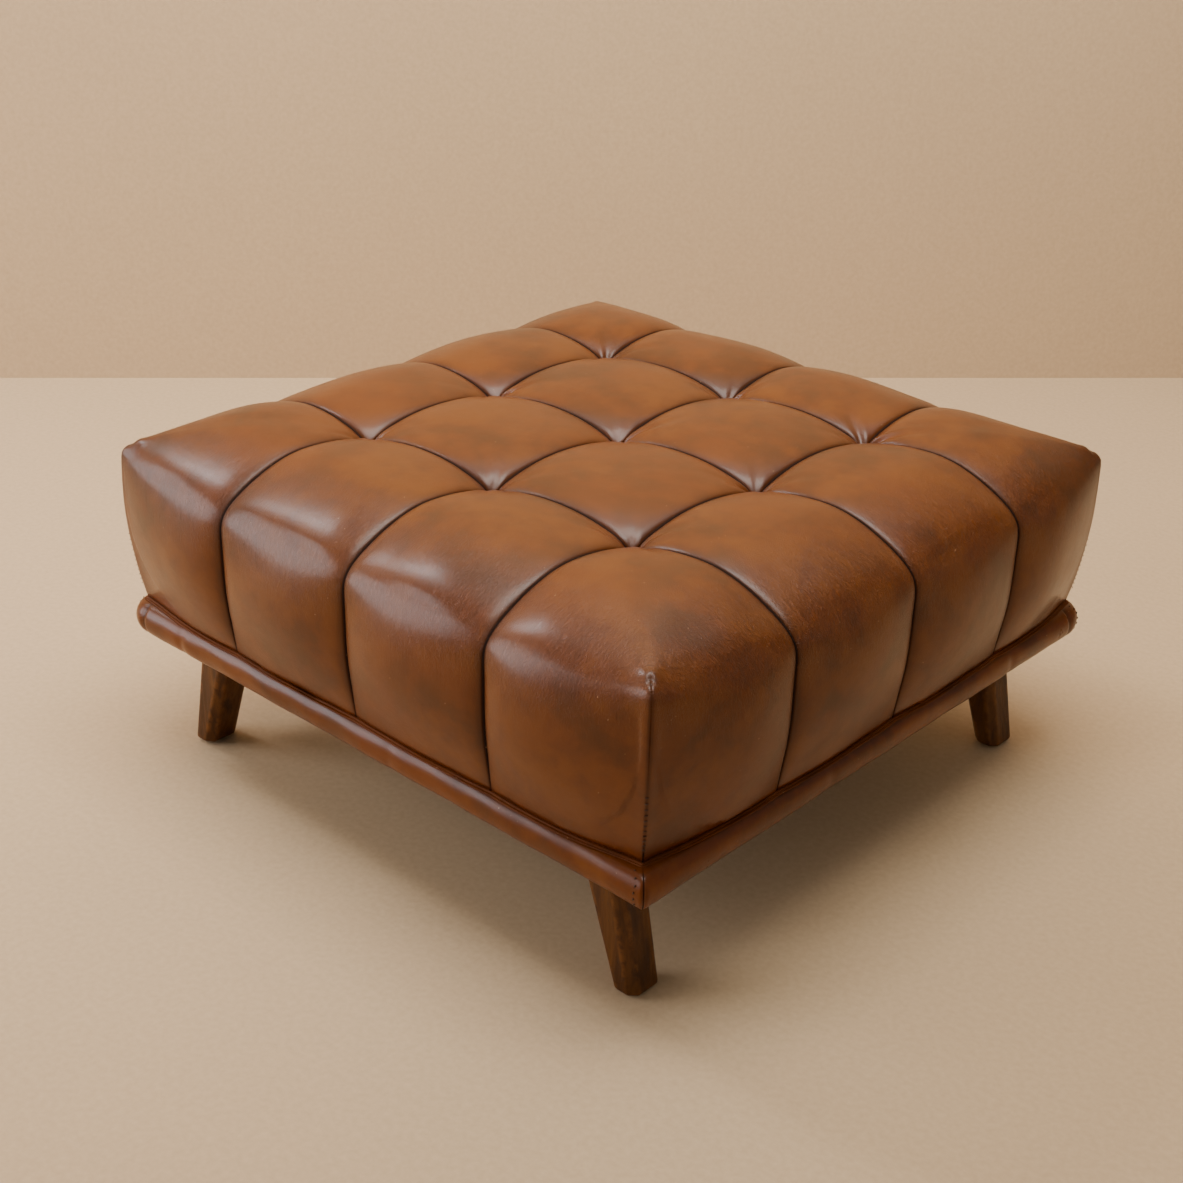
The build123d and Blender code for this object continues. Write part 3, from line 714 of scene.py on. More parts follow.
# %% Whole pad
steps = np.arange(-(lines - 1), lines)
cover = quarter[np.abs(steps)][:, np.abs(steps)].copy()
cover[..., 0] *= np.where(steps < 0, -1, 1)[:, None]
cover[..., 1] *= np.where(steps < 0, -1, 1)[None, :]
across_x, across_y = np.meshgrid(np.abs(steps), np.abs(steps), indexing="ij")
outer_x, outer_y = across_x - INNER_LINES, across_y - INNER_LINES
in_corner = (outer_x > 0) & (outer_y > 0)


def cell_swell(index):
    """Swell at each line of the grid: 0 on the seams and 1 on the crowns."""
    return np.concatenate([inner_swell, outer_swell[1:]])[index]


swell_over_x, swell_over_y = cell_swell(across_x), cell_swell(across_y)
stretch = np.minimum(swell_over_x, swell_over_y)
line_gap = np.concatenate([np.minimum(inner_share, 1 - inner_share), outer_length[1:]]) * PITCH
seam_gap = np.minimum(line_gap[across_x], line_gap[across_y])


def relaxed(points, weight, rounds):
    """Each point moves by its weight towards the middle of its four neighbours, a number of times."""
    for _ in range(rounds):
        middle = points.copy()
        middle[1:-1, 1:-1] = (points[:-2, 1:-1] + points[2:, 1:-1] + points[1:-1, :-2] + points[1:-1, 2:]) / 4
        points = points + (middle - points) * weight[..., None]
    return points


def outward_normals(points):
    """Normals of the grid, from the cross product of its two directions."""
    normal = np.cross(np.gradient(points, axis=0), np.gradient(points, axis=1))
    return normal / np.maximum(np.linalg.norm(normal, axis=-1, keepdims=True), 1e-9)


TIP_RISE, RIDGE_WIDTH, SMOOTH_ROUNDS, FAR_AWAY = 0.868, 16.0, 60, 1e3
ridge_rise = corner_cell[line, line, 2]
tip_line = INNER_LINES + RISE_LINES + int(np.argmax(ridge_rise[RISE_LINES:] < TIP_RISE))
corner_x, corner_y = np.maximum(outer_x, 0), np.maximum(outer_y, 0)
gap_from_ridge = np.where(in_corner, ridge_gap[corner_x, corner_y], FAR_AWAY)
outermost = np.maximum(across_x, across_y)
above_tip = np.clip((tip_line - outermost) / 6, 0, 1)
near_diagonal = bell(gap_from_ridge, 0, RIDGE_WIDTH) * above_tip
near_diagonal *= np.clip((np.minimum(outer_x, outer_y) - 8) / 10, 0, 1)
cover = relaxed(cover, np.where(in_corner, near_diagonal, 0), SMOOTH_ROUNDS)
tip = cover[tip_line + lines - 1, tip_line + lines - 1]
print("tip of the corner seam in mm:", tip.round(1))

# %% [markdown]
# The stuffing then pushes the leather out while its seams and its lower edge hold it. A cloth simulation
# finds that shape on every second line of the grid, without weight, because a tight cover hardly sags.
# The way each point moved is limited and then carried to the lines between.

# %% Stuffing pushes the cover out
CLOTH_STRIDE, CLOTH_FRAMES, CLOTH_REACH, START_SMALLER, RIDGE_CALM = 2, 20, 2.2, 1.5, 14.0
CLOTH = {
    "quality": 6, "mass": 0.3, "tension_stiffness": 40.0, "compression_stiffness": 10.0,
    "shear_stiffness": 10.0, "bending_stiffness": 1.0, "use_pressure": True, "uniform_pressure_force": 12.0,
    "vertex_group_mass": "held",
}


def between_lines(moved):
    """Movement at every line from that at every second line."""
    full = np.repeat(moved, 2, axis=0)[:-1]
    full[1::2] = (moved[:-1] + moved[1:]) / 2
    wide = np.repeat(full, 2, axis=1)[:, :-1]
    wide[:, 1::2] = (full[:, :-1] + full[:, 1:]) / 2
    return wide


def pushed_out(points, held_share):
    """Where the cover's points come to rest under the pressure. Held points stay."""
    coarse = points[::CLOTH_STRIDE, ::CLOTH_STRIDE]
    count = len(coarse)
    trial = make_piece("cover_on_trial", coarse.reshape(-1, 3), grid_faces(count, count), [])
    held = trial.vertex_groups.new(name="held")
    for number in np.flatnonzero(held_share[::CLOTH_STRIDE, ::CLOTH_STRIDE].ravel() > 0.5).tolist():
        held.add([number], 1.0, "REPLACE")
    cloth = trial.modifiers.new("stuffing", "CLOTH")
    for title, value in CLOTH.items():
        setattr(cloth.settings, title, value)
    cloth.settings.effector_weights.gravity = 0.0
    cloth.point_cache.frame_start, cloth.point_cache.frame_end = 1, CLOTH_FRAMES
    scene = bpy.context.scene
    for number in range(1, CLOTH_FRAMES + 1):
        scene.frame_set(number)
    settled = trial.evaluated_get(bpy.context.evaluated_depsgraph_get()).to_mesh()
    result = np.zeros(count * count * 3)
    settled.vertices.foreach_get("co", result)
    bpy.data.objects.remove(trial)
    scene.frame_set(1)
    return result.reshape(count, count, 3) / MM, coarse


on_seam = (across_x == 0) | (across_x == INNER_LINES) | (across_y == 0) | (across_y == INNER_LINES)
on_rim = outermost >= lines - 3
on_ridge = in_corner & (gap_from_ridge < 1.5) & (outermost >= tip_line + 3)
below_dart = np.clip((outermost - tip_line) / 6 + 2, 0, 1)
beside_ridge = 1 - below_dart * bell(gap_from_ridge, 0, RIDGE_CALM)
smaller = START_SMALLER * np.clip(stretch, 0, 1) * beside_ridge
tight = cover - outward_normals(cover) * smaller[..., None]
result, coarse = pushed_out(tight, (on_seam | on_rim | on_ridge).astype(float))
moved = result - coarse
distance = np.linalg.norm(moved, axis=-1, keepdims=True)
limited = moved * np.tanh(distance / CLOTH_REACH) * CLOTH_REACH / np.maximum(distance, 1e-6)
print("cloth moved, mean and most in mm:", distance.mean().round(2), distance.max().round(2))
even = relaxed(limited, np.full(limited.shape[:2], 0.7), 8)
cover = tight + between_lines(even) * beside_ridge[..., None]

# %% [markdown]
# Leather that is drawn down to a cord gathers into folds that run out from the tuft, and the dart at the
# top of each corner seam puckers the leather round it. Every fold is a groove with soft banks, pressed
# in along the surface's own normals. The random numbers have a fixed seed, so the folds never change.

# %% Folds at the tufts and uneven stuffing
FOLD_SEED, FOLDS_AT_TUFT, WAVES = 11, 6, 5
FOLD_TURN, FOLD_REACH, FOLD_DEPTH = (22, 68), (26, 58), (1.0, 2.4)
FOLD_WIDTH, FOLD_WIDENING, FOLD_BANK, FOLD_START = 2.4, 0.09, 0.35, 12
WAVE_LENGTH, WAVE_HEIGHT = (24, 48), 0.42
rng = np.random.default_rng(FOLD_SEED)
height_change = np.zeros(cover.shape[:2])
tuft_distance = np.full(cover.shape[:2], FAR_AWAY)
for tuft_x in (-PITCH, 0, PITCH):
    for tuft_y in (-PITCH, 0, PITCH):
        from_x, from_y = cover[..., 0] - tuft_x, cover[..., 1] - tuft_y
        distance = np.hypot(from_x, from_y)
        tuft_distance = np.minimum(tuft_distance, distance)
        angle = np.arctan2(from_y, from_x)
        for _ in range(FOLDS_AT_TUFT):
            quarter_turn = rng.integers(4) * math.pi / 2
            heading = quarter_turn + math.radians(rng.uniform(*FOLD_TURN))
            reach, depth = rng.uniform(*FOLD_REACH), rng.uniform(*FOLD_DEPTH)
            aside = np.abs((angle - heading + math.pi) % (2 * math.pi) - math.pi) * distance
            width = FOLD_WIDTH + FOLD_WIDENING * distance
            groove = bell(aside, 0, width) - FOLD_BANK * bell(aside, 2.0 * width, width)
            height_change -= depth * np.clip(distance / FOLD_START, 0, 1) * bell(distance, 0, reach) * groove

cell_number = np.stack([np.floor(cover[..., 0] / PITCH), np.floor(cover[..., 1] / PITCH)], axis=-1)
for _ in range(WAVES):
    wave = rng.normal(size=3) / rng.uniform(*WAVE_LENGTH)
    phase = cell_number @ rng.uniform(0, 6, 2) + rng.uniform(0, 6)
    height_change += WAVE_HEIGHT * np.sin(cover @ wave + phase) * np.clip(stretch * 1.3, 0, 1) ** 2
print("deepest fold in mm:", height_change.min().round(1))

# %% Sunk seams and corner darts
SEAM_SINK, SINK_REACH, TUFT_CALM, RIM_CALM = 2.2, 7.0, 40, 8
SEAM_DEPTH, BANK_HEIGHT = 1.6, 0.2
LIP_HEIGHT, PINCH_DEPTH = 1.3, 2.2
RIPPLE_HEIGHT, RIPPLE_LENGTH, RIPPLE_REACH, RIPPLE_START = 0.4, 6.5, 13, 5
# bells: how far away in mm their middle lies, and how wide they are
GROOVE_BELL, BANK_BELL, LIP_BELL, PINCH_BELL = (0, 1.1), (5, 4), (9, 5.5), (0, 5.0)
from_rim = lines - 1 - outermost
sink = SEAM_SINK * np.exp(-seam_gap / SINK_REACH) * np.clip(tuft_distance / TUFT_CALM, 0, 1)
height_change -= sink * np.clip(from_rim / RIM_CALM, 0, 1)
seam_groove = SEAM_DEPTH * bell(gap_from_ridge, *GROOVE_BELL) - BANK_HEIGHT * bell(gap_from_ridge, *BANK_BELL)
below_tip = np.clip((outermost - tip_line) / 3 + 1, 0, 1) * np.clip(from_rim / 6, 0.15, 1)
height_change -= np.where(in_corner, seam_groove * below_tip, 0)

from_tip = np.abs(cover) * [1, 1, 0] + cover * [0, 0, 1] - tip
tip_distance = np.linalg.norm(from_tip, axis=-1)
side_step = from_tip[..., 0] - from_tip[..., 1]
tip_angle = np.arctan2(from_tip[..., 2], np.abs(side_step) * np.sign(side_step + 1e-6))
ripples = np.cos(tip_distance * 2 * math.pi / RIPPLE_LENGTH + 1.2 * np.sin(3 * tip_angle))
ripples *= RIPPLE_HEIGHT * np.exp(-tip_distance / RIPPLE_REACH) * np.clip(tip_distance / RIPPLE_START, 0, 1)
lip = LIP_HEIGHT * bell(tip_distance, *LIP_BELL) * np.clip(from_tip[..., 2] / 6 + 0.4, 0, 1)
pinch = PINCH_DEPTH * bell(tip_distance, *PINCH_BELL)
height_change += np.where(in_corner, lip + ripples - pinch, 0)
cover = cover + outward_normals(cover) * height_change[..., None]
print("lowest and highest change in mm:", height_change.min().round(1), height_change.max().round(1))

# %% Close the pad and make it
RIM_TURN, RIM_RISE, BESIDE_DECK, UNDER_DECK, OVER_DECK = 6, 0.3, 1, 0.5, 0.8


def closed_pad(points):
    """Points and faces of the cover with its rim turned in, up beside the deck and closed across."""
    count = len(points)
    ring, ring_index = border(points), border(np.arange(count * count).reshape(count, count))
    deck_high = np.array(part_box("deck_board")[1]) / MM
    largest = np.abs(ring[:, :2]).max(axis=1, keepdims=True)
    beside_deck = ring[:, :2] / largest * (deck_high[0] + BESIDE_DECK)
    middle = np.array([[0, 0, deck_high[2] + OVER_DECK]])
    rings = []
    for flat, height in (
        (ring[:, :2] * (1 - RIM_TURN / largest), PAD_BOTTOM + RIM_RISE),
        (beside_deck, PAD_BOTTOM + UNDER_DECK),
        (beside_deck, middle[0, 2]),
    ):
        rings.append(np.column_stack([flat, np.full(len(ring), height)]))
    all_points = np.concatenate([points.reshape(-1, 3), *rings, middle])
    around = len(ring)
    faces = [grid_faces(count, count)]
    loops = [ring_index] + [count * count + number * around + np.arange(around) for number in range(3)]
    for upper, lower in zip(loops[:-1], loops[1:]):
        faces.append(np.stack([upper, lower, np.roll(lower, -1), np.roll(upper, -1)], axis=-1))
    fan = np.stack([loops[-1], np.full(around, len(all_points) - 1), np.roll(loops[-1], -1)], axis=-1)
    return all_points, [*np.concatenate(faces).tolist(), *fan.tolist()]


pad_points, pad_faces = closed_pad(cover)
pad = make_piece("stuffed_pad", pad_points, pad_faces, [pad_leather])


def on_pad(values, rest):
    """Numbers for the cover's points, and the same one for all that closes it."""
    extra = len(pad_points) - values.size
    return np.concatenate([values.ravel(), np.full(extra, rest)])


# %% What the pad's leather reads
SEAM_FADE, SHOULDER_WIDTH = 6.5, 60
fall_length = np.concatenate([np.zeros(INNER_LINES), outer_length * PITCH])
on_front = outer_y >= outer_x
around_mm = np.where(on_front, np.abs(cover[..., 0]), np.abs(cover[..., 1]))
down_mm = np.where(on_front, fall_length[across_y], fall_length[across_x])
# Stretch falls beside the seams, along the corner ridge and round each dart tip, and there the leather paints
# shade into its colour.
seam_gap = np.where(outermost >= tip_line, np.minimum(seam_gap, 2.4 * gap_from_ridge), seam_gap)
seam_gap = np.minimum(seam_gap, np.where(in_corner, 0.9 * tip_distance, seam_gap))
add_values(
    pad, stretch=on_pad(1 - np.exp(-seam_gap / SEAM_FADE), 1), around=on_pad(around_mm * MM, 0),
    down=on_pad(down_mm * MM, 0), crease=on_pad(bell(down_mm, PITCH, SHOULDER_WIDTH), 0),
)
print("share of the cover's points beside a seam:", (seam_gap < SEAM_FADE).mean().round(2))
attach(pad, "root")
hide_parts(*[f"cushion_cell_r{row}_c{column}" for row in range(1, 5) for column in range(1, 5)], "foam_core")

# %% [markdown]
# ## The leather-wrapped frame
# The wrap is one band of leather over wadding round the four rails. Its section is a round face with a
# flap turned in under the wood. The section is carried round a square with rounded corners. Seams and
# dents are pressed in at places counted along each side, as the upholsterer's hand leaves them.

# %% Rings round the ottoman
CORNER_STEPS, RAIL_SIDE_STEPS = 24, 280
SIDES = ("front", "right", "back", "left")
QUARTER_TURNS = [(1, 0), (0, 1), (-1, 0), (0, -1)]


def turned(x, y, quarter):
    """Places on the front side, carried to one of the four sides by quarter turns."""
    cosine, sine = QUARTER_TURNS[quarter]
    return np.stack([x * cosine - y * sine, x * sine + y * cosine], axis=-1)


def square_ring(half, radii):
    """Points of a rounded square, anticlockwise from the front left, with the side that each belongs to,
    how far along that side it is from the side's middle, and how far from the nearest corner's middle.
    The radii are those of the front left, front right, back right and back left corners. The first half
    of a corner belongs to the side before it and the second half to the next side."""
    turn = np.linspace(0, math.pi / 2, CORNER_STEPS + 1)[:-1]
    past = turn > math.pi / 4
    points, sides, places, from_corners = [], [], [], []
    for quarter in range(4):
        following = (quarter + 1) % 4
        before, after = radii[quarter], radii[following]
        straight = np.linspace(before - half, half - after, RAIL_SIDE_STEPS + 1)[:-1]
        x = np.concatenate([straight, half - after + after * np.sin(turn)])
        y = np.concatenate([np.full(RAIL_SIDE_STEPS, -half), -half + after * (1 - np.cos(turn))])
        points.append(turned(x, y, quarter))
        sides.append(np.concatenate([np.full(RAIL_SIDE_STEPS, quarter), np.where(past, following, quarter)]))
        arc = half - after + after * turn
        on_next_side = arc - 2 * half + after * (2 - math.pi / 2)
        places.append(np.concatenate([straight, np.where(past, on_next_side, arc)]))
        to_start = straight - before + half + before * math.pi / 4
        to_end = half - after - straight + after * math.pi / 4
        to_middle = np.abs(turn - math.pi / 4) * after
        from_corners.append(np.concatenate([np.minimum(to_start, to_end), to_middle]))
    return [np.concatenate(part) for part in (points, sides, places, from_corners)]


print("points in a ring:", 4 * (CORNER_STEPS + RAIL_SIDE_STEPS))

# %% Section of the wrapped rail
RAIL_PUFF, RAIL_BULGE, FLAP, TURN_UP = 5.0, 20.0, 25.0, 1.2
rail_low, rail_high = [np.array(corner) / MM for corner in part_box("rail_cover_front")]
wood_low, wood_high = [np.array(corner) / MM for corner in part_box("frame_rail_front")]
RAIL_FACE, WOOD_FACE = RAIL_PUFF - rail_low[1], -wood_low[1]
turn = np.linspace(math.pi / 2, -math.pi / 2, 19)
root, flap_end, wood_face = RAIL_FACE - RAIL_BULGE, RAIL_FACE - RAIL_BULGE - FLAP, WOOD_FACE + 0.4
section_reach = np.concatenate([
    [WOOD_FACE + 1, root - 5], root + np.cos(turn) ** 0.85 * RAIL_BULGE,
    [flap_end, flap_end, wood_face, wood_face],
])
section_height = np.concatenate([
    [rail_high[2]] * 2, mixed(rail_low[2], rail_high[2], (np.sin(turn) + 1) / 2),
    [rail_low[2], rail_low[2] + TURN_UP, rail_low[2] + TURN_UP, wood_high[2] + 0.4],
])
roundness = np.concatenate([[0, 0], np.cos(turn) ** 0.5, [0, 0, 0, 0]])
section_down = np.concatenate([[0], np.cumsum(np.hypot(np.diff(section_reach), np.diff(section_height)))])
print("length of the rail's section in mm:", section_down[-1].round(1))

# %% The wrapped rail
RAIL_CORNERS, TIGHTEST, MITRE_WIDTH, MITRE_DEPTH = np.array([34.0, 8.0, 34.0, 34.0]), 2.0, 1.4, 1.6
LONG_WAVE, SHORT_WAVE, LONG_HEIGHT, SHORT_HEIGHT = 31, 12.5, 0.5, 0.35
# side, place along it, width and depth in millimetres
RAIL_SEAMS = [(0, -392, 3.0, 2.6), (1, 388, 3.0, 2.6), (2, -390, 3.0, 2.6), (3, 391, 3.0, 2.6)]
RAIL_DENTS = [
    (0, -316, 7.0, 1.7), (1, -120, 9.0, 0.9), (0, 60, 8.0, 0.8), (1, 250, 8.0, 1.1), (3, 40, 8.0, 1.0),
]


def rail_ring(reach):
    """Ring of the wrap at one reach. Its corners get tighter with the reach, as on a real band."""
    return square_ring(reach, np.maximum(RAIL_CORNERS + reach - RAIL_FACE, TIGHTEST))


ring_rows, ring_stretch = [], []
for reach, height, round_share in zip(section_reach, section_height, roundness):
    flat, side, place, from_corner = rail_ring(reach)
    seam = bell(from_corner, 0, MITRE_WIDTH)
    inward = MITRE_DEPTH * seam
    for on_side, middle, width, depth in RAIL_SEAMS + RAIL_DENTS:
        inward += depth * bell(place, middle, width) * (side == on_side)
    for on_side, middle, width, depth in RAIL_SEAMS:
        seam = np.maximum(seam, bell(place, middle, width) * (side == on_side))
    long_waves = LONG_HEIGHT * np.sin(place / LONG_WAVE + side * 1.7)
    inward -= long_waves + SHORT_HEIGHT * np.sin(place / SHORT_WAVE + side * 2.3 + height / 9)
    flat = flat - flat / np.linalg.norm(flat, axis=1, keepdims=True) * (inward * round_share)[:, None]
    ring_rows.append(np.column_stack([flat, np.full(len(flat), height)]))
    # Stretch drops over the mitres and the seams, so the leather paints shade into them.
    ring_stretch.append(1 - seam * np.clip(1.6 * round_share, 0, 1))
rail_points = np.stack(ring_rows)
rows, columns = rail_points.shape[:2]
rail_faces = grid_faces(rows, columns, closed=True, looped=True)
wrapped_rail = make_piece("wrapped_rail", rail_points.reshape(-1, 3), rail_faces, [wrap_leather])
add_values(
    wrapped_rail, stretch=np.stack(ring_stretch),
    around=np.broadcast_to(place + side * 2 * RAIL_FACE, (rows, columns)) * MM,
    down=np.broadcast_to(section_down[:, None], (rows, columns)) * MM,
    crease=np.broadcast_to(roundness[:, None] * 0.5, (rows, columns)),
)
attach(wrapped_rail, "root")
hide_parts(*[f"rail_cover_{side}" for side in SIDES], *[f"rail_padding_{side}" for side in SIDES])

# %% [markdown]
# ## The folded lip
# A folded strip of leather closes the gap between the pad and the frame. It is held between them, so it
# keeps to the pad's own base line, and only its edges wander a little. Two folded edges lie one on the
# other, and the ends of the strip overlap on the front side and stand a little proud.

# %% Sections of the lip
LIP_SECTION = [
    (-5.0, 0.0), (0.0, 0.0), (0.75, 0.0), (1.0, 0.3), (1.0, 0.8), (0.8, 1.0), (0.0, 1.0), (-5.0, 1.0),
]
# stretch of each section line: the low values paint shade on the inward parts that run under the pad
LIP_EDGE = [0.3, 0.5, 0.9, 1.0, 1.0, 0.9, 0.5, 0.3]
LIP_DOWN = np.array([-5, 0, 5, 6, 7, 8, 12, 17])
RIM_ROUNDS, LIP_SAG, JOIN_PLACE, JOIN_WIDTH, JOIN_PROUD, JOIN_RISE = 16, 1.1, -92, 26, 1.6, 2.4
rim_line = border(cover)[:, :2]
for _ in range(RIM_ROUNDS):
    rim_line = (np.roll(rim_line, 1, axis=0) + 2 * rim_line + np.roll(rim_line, -1, axis=0)) / 4
tangent = np.roll(rim_line, -1, axis=0) - np.roll(rim_line, 1, axis=0)
rim_normal = np.stack([tangent[:, 1], -tangent[:, 0]], axis=-1)
rim_normal /= np.linalg.norm(tangent, axis=1, keepdims=True)
rim_normal *= np.sign(np.sum(rim_normal * rim_line, axis=1))[:, None]
rim_place = np.concatenate([[0], np.cumsum(np.linalg.norm(np.diff(rim_line, axis=0), axis=1))])
print("length of the pad's base line in mm:", rim_place[-1].round())


def lip_layer(low, high, width, wander, phase):
    """One folded edge: a flat section with a rounded outer edge, carried along the pad's base line. A
    share of the width that is below 0 is a distance inward."""
    waves = np.sin(rim_place / 47 + phase) + 0.6 * np.sin(rim_place / 19 + 2 * phase)
    join = np.clip((-rim_line[:, 1] - 395) / 12, 0, 1) * bell(rim_line[:, 0], JOIN_PLACE, JOIN_WIDTH)
    reach = width + wander * waves + JOIN_PROUD * join
    sag = 0.35 * waves - LIP_SAG + JOIN_RISE * join
    layer = []
    for out, up in LIP_SECTION:
        offset = np.full(len(rim_line), out) if out < 0 else reach * out
        height = mixed(low, high, up) + np.clip(offset / width, 0, 1) ** 2 * sag
        layer.append(np.column_stack([rim_line + rim_normal * offset[:, None], height]))
    return np.stack(layer)


# %% The lip
lip_low, lip_high = [corner[2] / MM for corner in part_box("welt_front")]
layers = [
    lip_layer(lip_low + 0.1, mixed(lip_low, lip_high, 0.46), width=4.2, wander=0.4, phase=0.4),
    lip_layer(mixed(lip_low, lip_high, 0.54), lip_high - 0.1, width=2.0, wander=0.3, phase=2.6),
]
rows, columns = layers[0].shape[:2]
one_layer = grid_faces(rows, columns, closed=True, looped=True)[:, ::-1]
lip_faces = np.concatenate([one_layer, one_layer + rows * columns])
lip_piece = make_piece("folded_lip", np.concatenate(layers).reshape(-1, 3), lip_faces, [lip_leather])
add_values(
    lip_piece, stretch=np.tile(np.repeat(LIP_EDGE, columns), 2), around=np.tile(rim_place * MM, 2 * rows),
    down=np.tile(np.repeat(LIP_DOWN * MM, columns), 2), crease=np.full(2 * rows * columns, 0.3),
)
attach(lip_piece, "root")
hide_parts(*[f"welt_{side}" for side in SIDES])

# %% [markdown]
# ## The legs
# Each leg is sawn to a taper, leans outward to its side, and has its four edges cut off at an angle and
# then eased by hand. Eight soft corners and the flats between them make one section, and the sections
# are stacked from the rounded foot to the top.

# %% Leg sections
LEG_CUT, EDGE_EASE, EDGE_FADE, FOOT_ROUND = 9.0, 2.4, 3.0, 5.0
ROUND_RINGS, LEG_RINGS = 6, 24
LEG_LEAN, FOOT_SIZE, TOP_SIZE = 43.0, np.array([35.0, 48.0]), np.array([56.0, 51.0])
RUBBED_HEIGHT = 9


def leg_section(width, depth, cut):
    """Points round a rectangle with cut corners, and how rubbed each is. A corner is a short curve, and
    a point a little way past each of its ends lets the rubbing fade out."""
    half_x, half_y = width / 2, depth / 2
    corners = np.array([
        (half_x, -half_y + cut), (half_x, half_y - cut), (half_x - cut, half_y), (-half_x + cut, half_y),
        (-half_x, half_y - cut), (-half_x, -half_y + cut), (-half_x + cut, -half_y), (half_x - cut, -half_y),
    ])
    points, rubbed = [], []
    for number, corner in enumerate(corners):
        before, after = corners[number - 1] - corner, corners[(number + 1) % 8] - corner
        before, after = before / np.linalg.norm(before), after / np.linalg.norm(after)
        points.append(corner + before * (EDGE_EASE + EDGE_FADE))
        for t in (0.0, 1 / 3, 2 / 3, 1.0):
            points.append(corner + before * EDGE_EASE * (1 - t) ** 2 + after * EDGE_EASE * t**2)
        points.append(corner + after * (EDGE_EASE + EDGE_FADE))
        rubbed += [0.0, 1.0, 1.0, 1.0, 1.0, 0.0]
    return np.array(points), np.array(rubbed)


def leg_mesh(foot, top, low, high):
    """Stacked sections from the foot to the top, with both ends closed, and the rubbed share of each
    point. The first rings round the foot's edge off."""
    rows, rubbed = [], []
    angles = np.linspace(0, math.pi / 2, ROUND_RINGS)
    straight = np.linspace(low + FOOT_ROUND, high, LEG_RINGS)[1:]
    heights = np.concatenate([low + FOOT_ROUND * (1 - np.cos(angles)), straight])
    insets = np.concatenate([FOOT_ROUND * (1 - np.sin(angles)), np.zeros(LEG_RINGS - 1)])
    for height, inset in zip(heights, insets):
        share = (height - low) / (high - low)
        width, depth = mixed(FOOT_SIZE, TOP_SIZE, share) - 2 * inset
        flat, section_rubbed = leg_section(width, depth, LEG_CUT - 0.5 * inset)
        middle = mixed(foot, top, share)
        rows.append(np.column_stack([flat + middle, np.full(len(flat), height)]))
        near_foot = np.clip(1 - (height - low) / RUBBED_HEIGHT, 0, 1)
        rubbed.append(np.maximum(section_rubbed, near_foot))
    ends = [[*foot, low], [*top, high]]
    rubbed = np.concatenate([np.concatenate(rubbed), [0.5, 0]])
    count, around = len(rows), len(rows[0])
    faces = grid_faces(count, around, closed=True)[:, ::-1].tolist()
    first, last = count * around, count * around + 1
    following = [(k + 1) % around for k in range(around)]
    faces += [[following[k], k, first] for k in range(around)]
    faces += [[(count - 1) * around + k, (count - 1) * around + following[k], last] for k in range(around)]
    return np.concatenate([*rows, ends]), faces, rubbed


print("points round a leg:", len(leg_section(*TOP_SIZE, LEG_CUT)[0]))

# %% Four legs
for corner_name in CORNERS:
    leg_low, leg_high = [np.array(corner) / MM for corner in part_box(f"leg_{corner_name}")]
    glide_low, glide_high = [np.array(corner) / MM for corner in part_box(f"foot_glide_{corner_name}")]
    foot = (glide_low[:2] + glide_high[:2]) / 2
    top = foot - [math.copysign(LEG_LEAN, foot[0]), 0]
    points, faces, rubbed = leg_mesh(foot, top, leg_low[2], leg_high[2])
    piece = make_piece(f"walnut_leg_{corner_name}", points, faces, [walnut])
    add_values(piece, edge=rubbed)
    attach(piece, "root")
    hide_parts(f"leg_{corner_name}")

# %% [markdown]
# ## Stitches
# Short stitches cross each corner seam, and a line of them runs beside each mitre of the wrap. Every
# stitch is one small rounded bead of thread, copied to its place.

# %% Stitch helper
BEAD_SIDES = 6


def beads(name, places, directions, material, length, radius):
    """One rounded bead of thread at each place, drawn out along its direction."""
    stations = np.array([-0.5, -0.42, 0.0, 0.42, 0.5]) * length
    sizes = np.array([0.25, 0.8, 1.0, 0.8, 0.25]) * radius
    angles = np.arange(BEAD_SIDES) * 2 * math.pi / BEAD_SIDES
    points, faces = [], []
    count = len(stations) * BEAD_SIDES
    tube = grid_faces(len(stations), BEAD_SIDES, closed=True)[:, ::-1].tolist()
    caps = [list(range(BEAD_SIDES))[::-1], list(range(count - BEAD_SIDES, count))]
    for place, direction in zip(places, directions):
        along = direction / np.linalg.norm(direction)
        aside = np.cross(along, [0.31, 0.52, 0.79])
        aside /= np.linalg.norm(aside)
        up = np.cross(along, aside)
        ring = np.cos(angles)[:, None] * aside + np.sin(angles)[:, None] * up
        rows = place + stations[:, None, None] * along + sizes[:, None, None] * ring[None]
        faces += [[index + len(points) * count for index in face] for face in [*tube, *caps]]
        points.append(rows.reshape(-1, 3))
    piece = make_piece(name, np.concatenate(points), faces, [material])
    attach(piece, "root")
    return piece


# %% Corner and mitre stitches
SEAM_STITCHES, STITCH_START, STITCH_PROUD = 13, 22, 0.9
MITRE_ASIDE, MITRE_PROUD = 11.0, 0.4
MITRE_ROWS = range(4, 18, 2)
places, directions = [], []
centre = lines - 1
for sign_x, sign_y in ((1, 1), (1, -1), (-1, 1), (-1, -1)):
    for number in np.linspace(tip_line + STITCH_START, lines - 4, SEAM_STITCHES).round().astype(int):
        on_ridge_point = cover[centre + sign_x * number, centre + sign_y * number]
        places.append(on_ridge_point + np.array([sign_x, sign_y, 0]) * STITCH_PROUD)
        directions.append(np.array([-sign_y, sign_x, 0.25]))
beads("corner_stitches", places, directions, seam_thread, length=4.2, radius=0.5)

